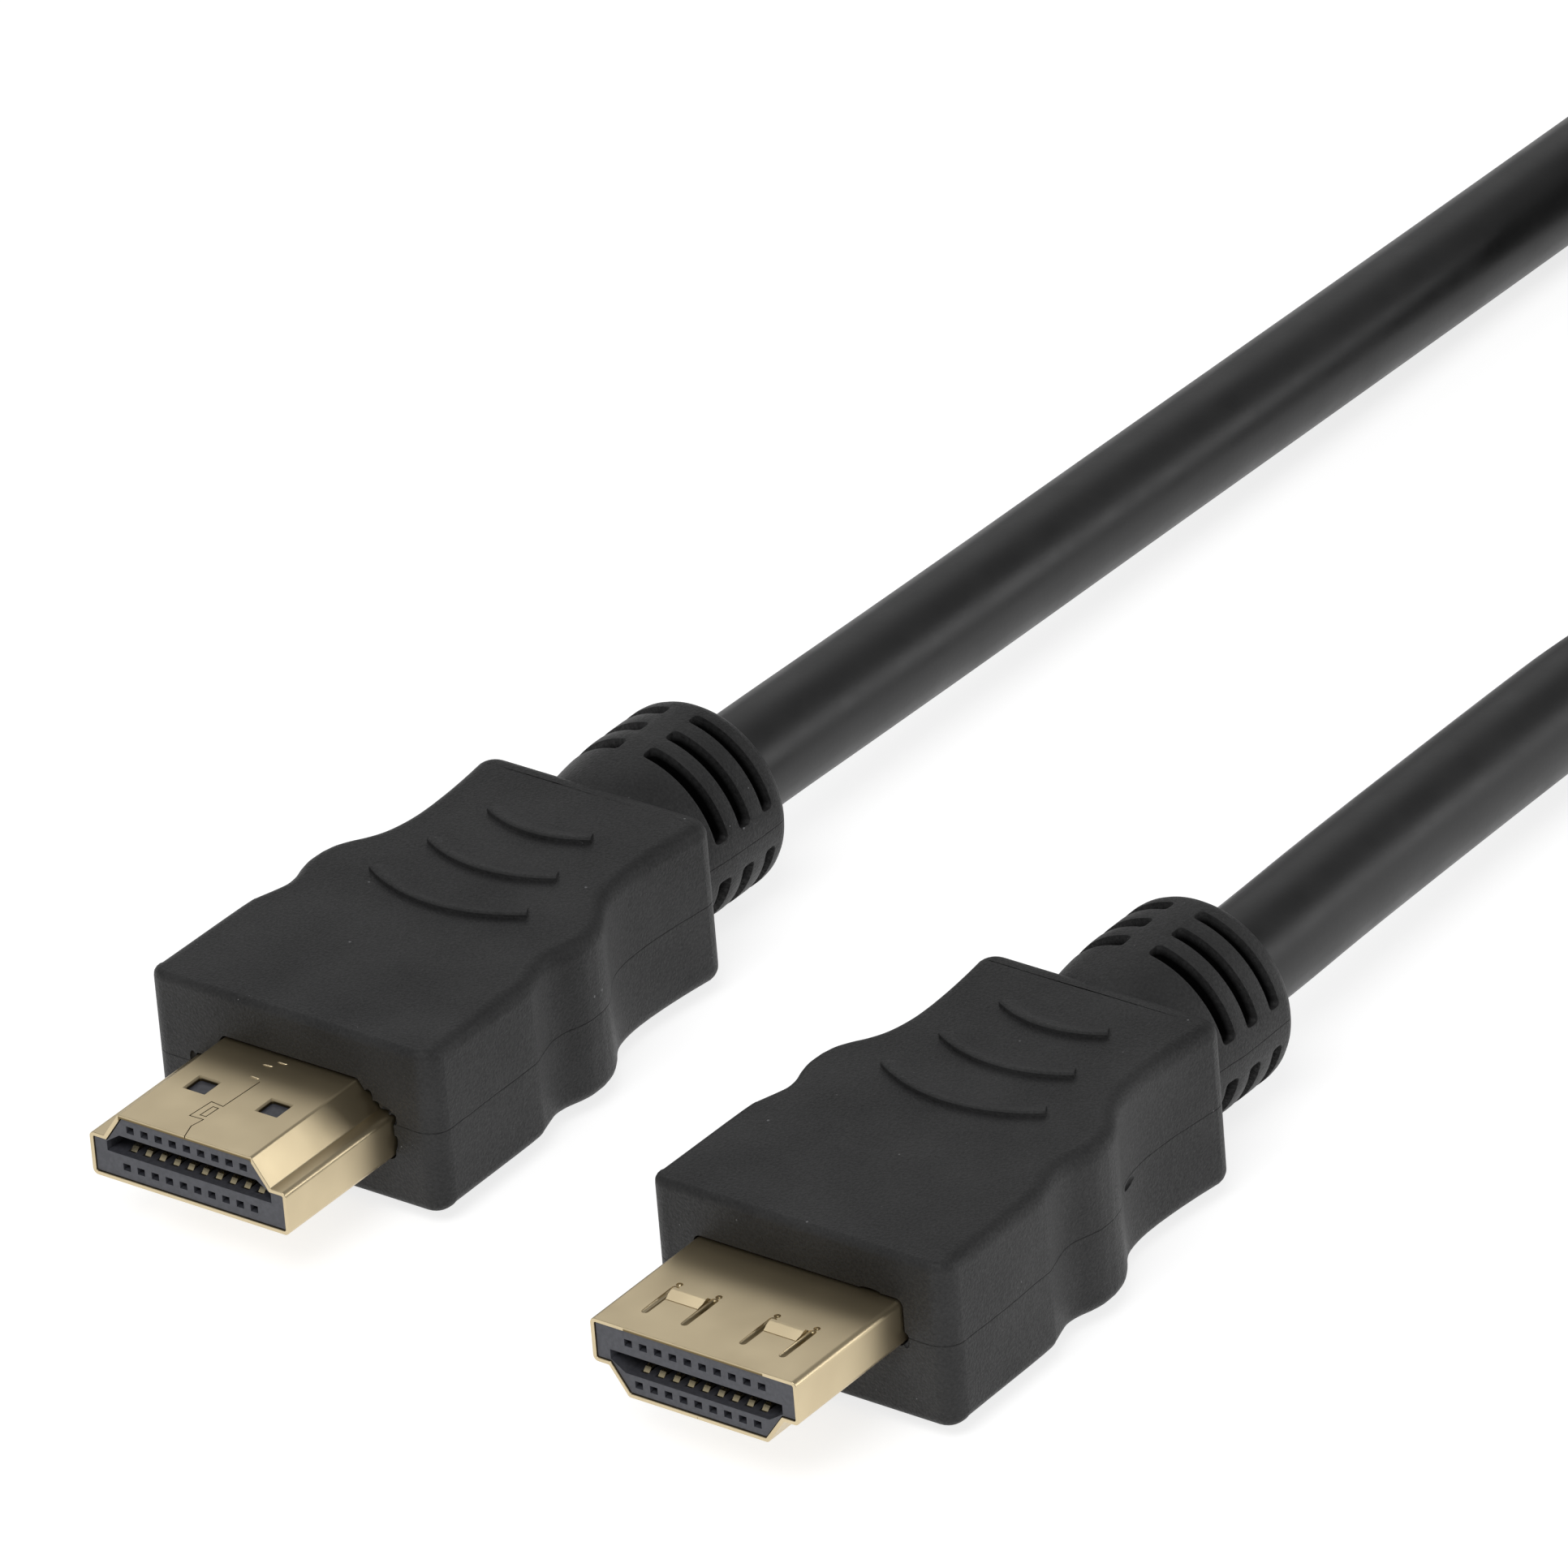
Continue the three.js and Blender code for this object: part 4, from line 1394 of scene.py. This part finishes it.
@dataclass
class Studio:
    """The white surface, the soft light and the camera."""

    camera_at: Point3 = (0.49235, -0.60437, 0.46431)
    camera_right: Point3 = (0.8034, 0.5909, -0.0739)
    camera_up: Point3 = (-0.2403, 0.4352, 0.8677)
    lens: float = 372.67
    floor_size: float = 6.0
    floor_height: float = -0.0002
    sky: float = 0.3
    lamps: tuple[Lamp, ...] = (
        Lamp("back", (-0.65, 0.8, 0.6), (0.0, 0.0, 0.0), (1.0, 0.5), 1.0),
        Lamp("upper_left", (-0.65, 0.15, 1.0), (0.0, 0.0, 0.0), (0.4, 0.4), 0.8),
        Lamp("front", (0.35, -0.9, 1.3), (0.0, 0.0, 0.0), (0.9, 0.7), 12.0),
        Lamp("right", (0.95, 1.0, 0.36), (0.0, 0.0, 0.0), (0.8, 0.45), 3.3),
    )

    def build(self, surface: Material) -> None:
        """Sets up the surface, the lamps, the sky and the camera."""
        shape = bmesh.new()
        bmesh.ops.create_grid(shape, x_segments=1, y_segments=1, size=self.floor_size / 2)
        bmesh.ops.translate(shape, verts=shape.verts, vec=(0, 0, self.floor_height))
        floor = new_object("white_surface", shape)
        dress(floor, surface)
        for lamp in self.lamps:
            lamp.build()
        world = bpy.data.worlds.new("sky")
        world.use_nodes = True
        background = world.node_tree.nodes["Background"]
        background.inputs["Color"].default_value = WHITE
        background.inputs["Strength"].default_value = self.sky
        bpy.context.scene.world = world
        self.camera()
        bpy.context.scene.view_settings.view_transform = "Standard"

    def camera(self) -> Piece:
        """Puts the camera where the photograph was taken from."""
        data = bpy.data.cameras.new("camera")
        data.sensor_width = 36.0
        data.lens = self.lens
        data.clip_start, data.clip_end = 0.01, 50.0
        camera = bpy.data.objects.new("camera", data)
        right = Vector(self.camera_right).normalized()
        up = Vector(self.camera_up)
        up = (up - right * up.dot(right)).normalized()
        turn = Matrix((right, up, right.cross(up))).transposed().to_4x4()
        camera.matrix_world = Matrix.Translation(self.camera_at) @ turn
        bpy.context.scene.collection.objects.link(camera)
        bpy.context.scene.camera = camera
        return camera


def main() -> None:
    """Builds the studio, the plugs, the tie and the cable."""
    makers: dict[str, Callable[[], Material]] = {
        "shell": PaleGold().build,
        "contacts": PaleGold(
            name="contact_gold", dull=(0.78, 0.66, 0.4), bright=(0.85, 0.74, 0.5), roughness=0.22,
        ).build,
        "contact_block": SlatePlastic().build,
        "boot": MouldedBlack().build,
        "cable": CableJacket().build,
        "tie": WovenStrap().build,
    }
    finishes = {slot: maker() for slot, maker in makers.items()}
    Studio().build(WhiteSurface().build())
    section = DSection()
    plugs = {
        placement.side: Plug(placement, MetalShell(section), MouldedBoot(section)).build(finishes)
        for placement in PLACEMENTS
    }
    cable = Cable()
    tie = CoilTie(cable).build(finishes["tie"])
    cable.build(finishes["cable"], [*plugs[Side.RIGHT], tie])


if __name__ == "__main__":
    main()
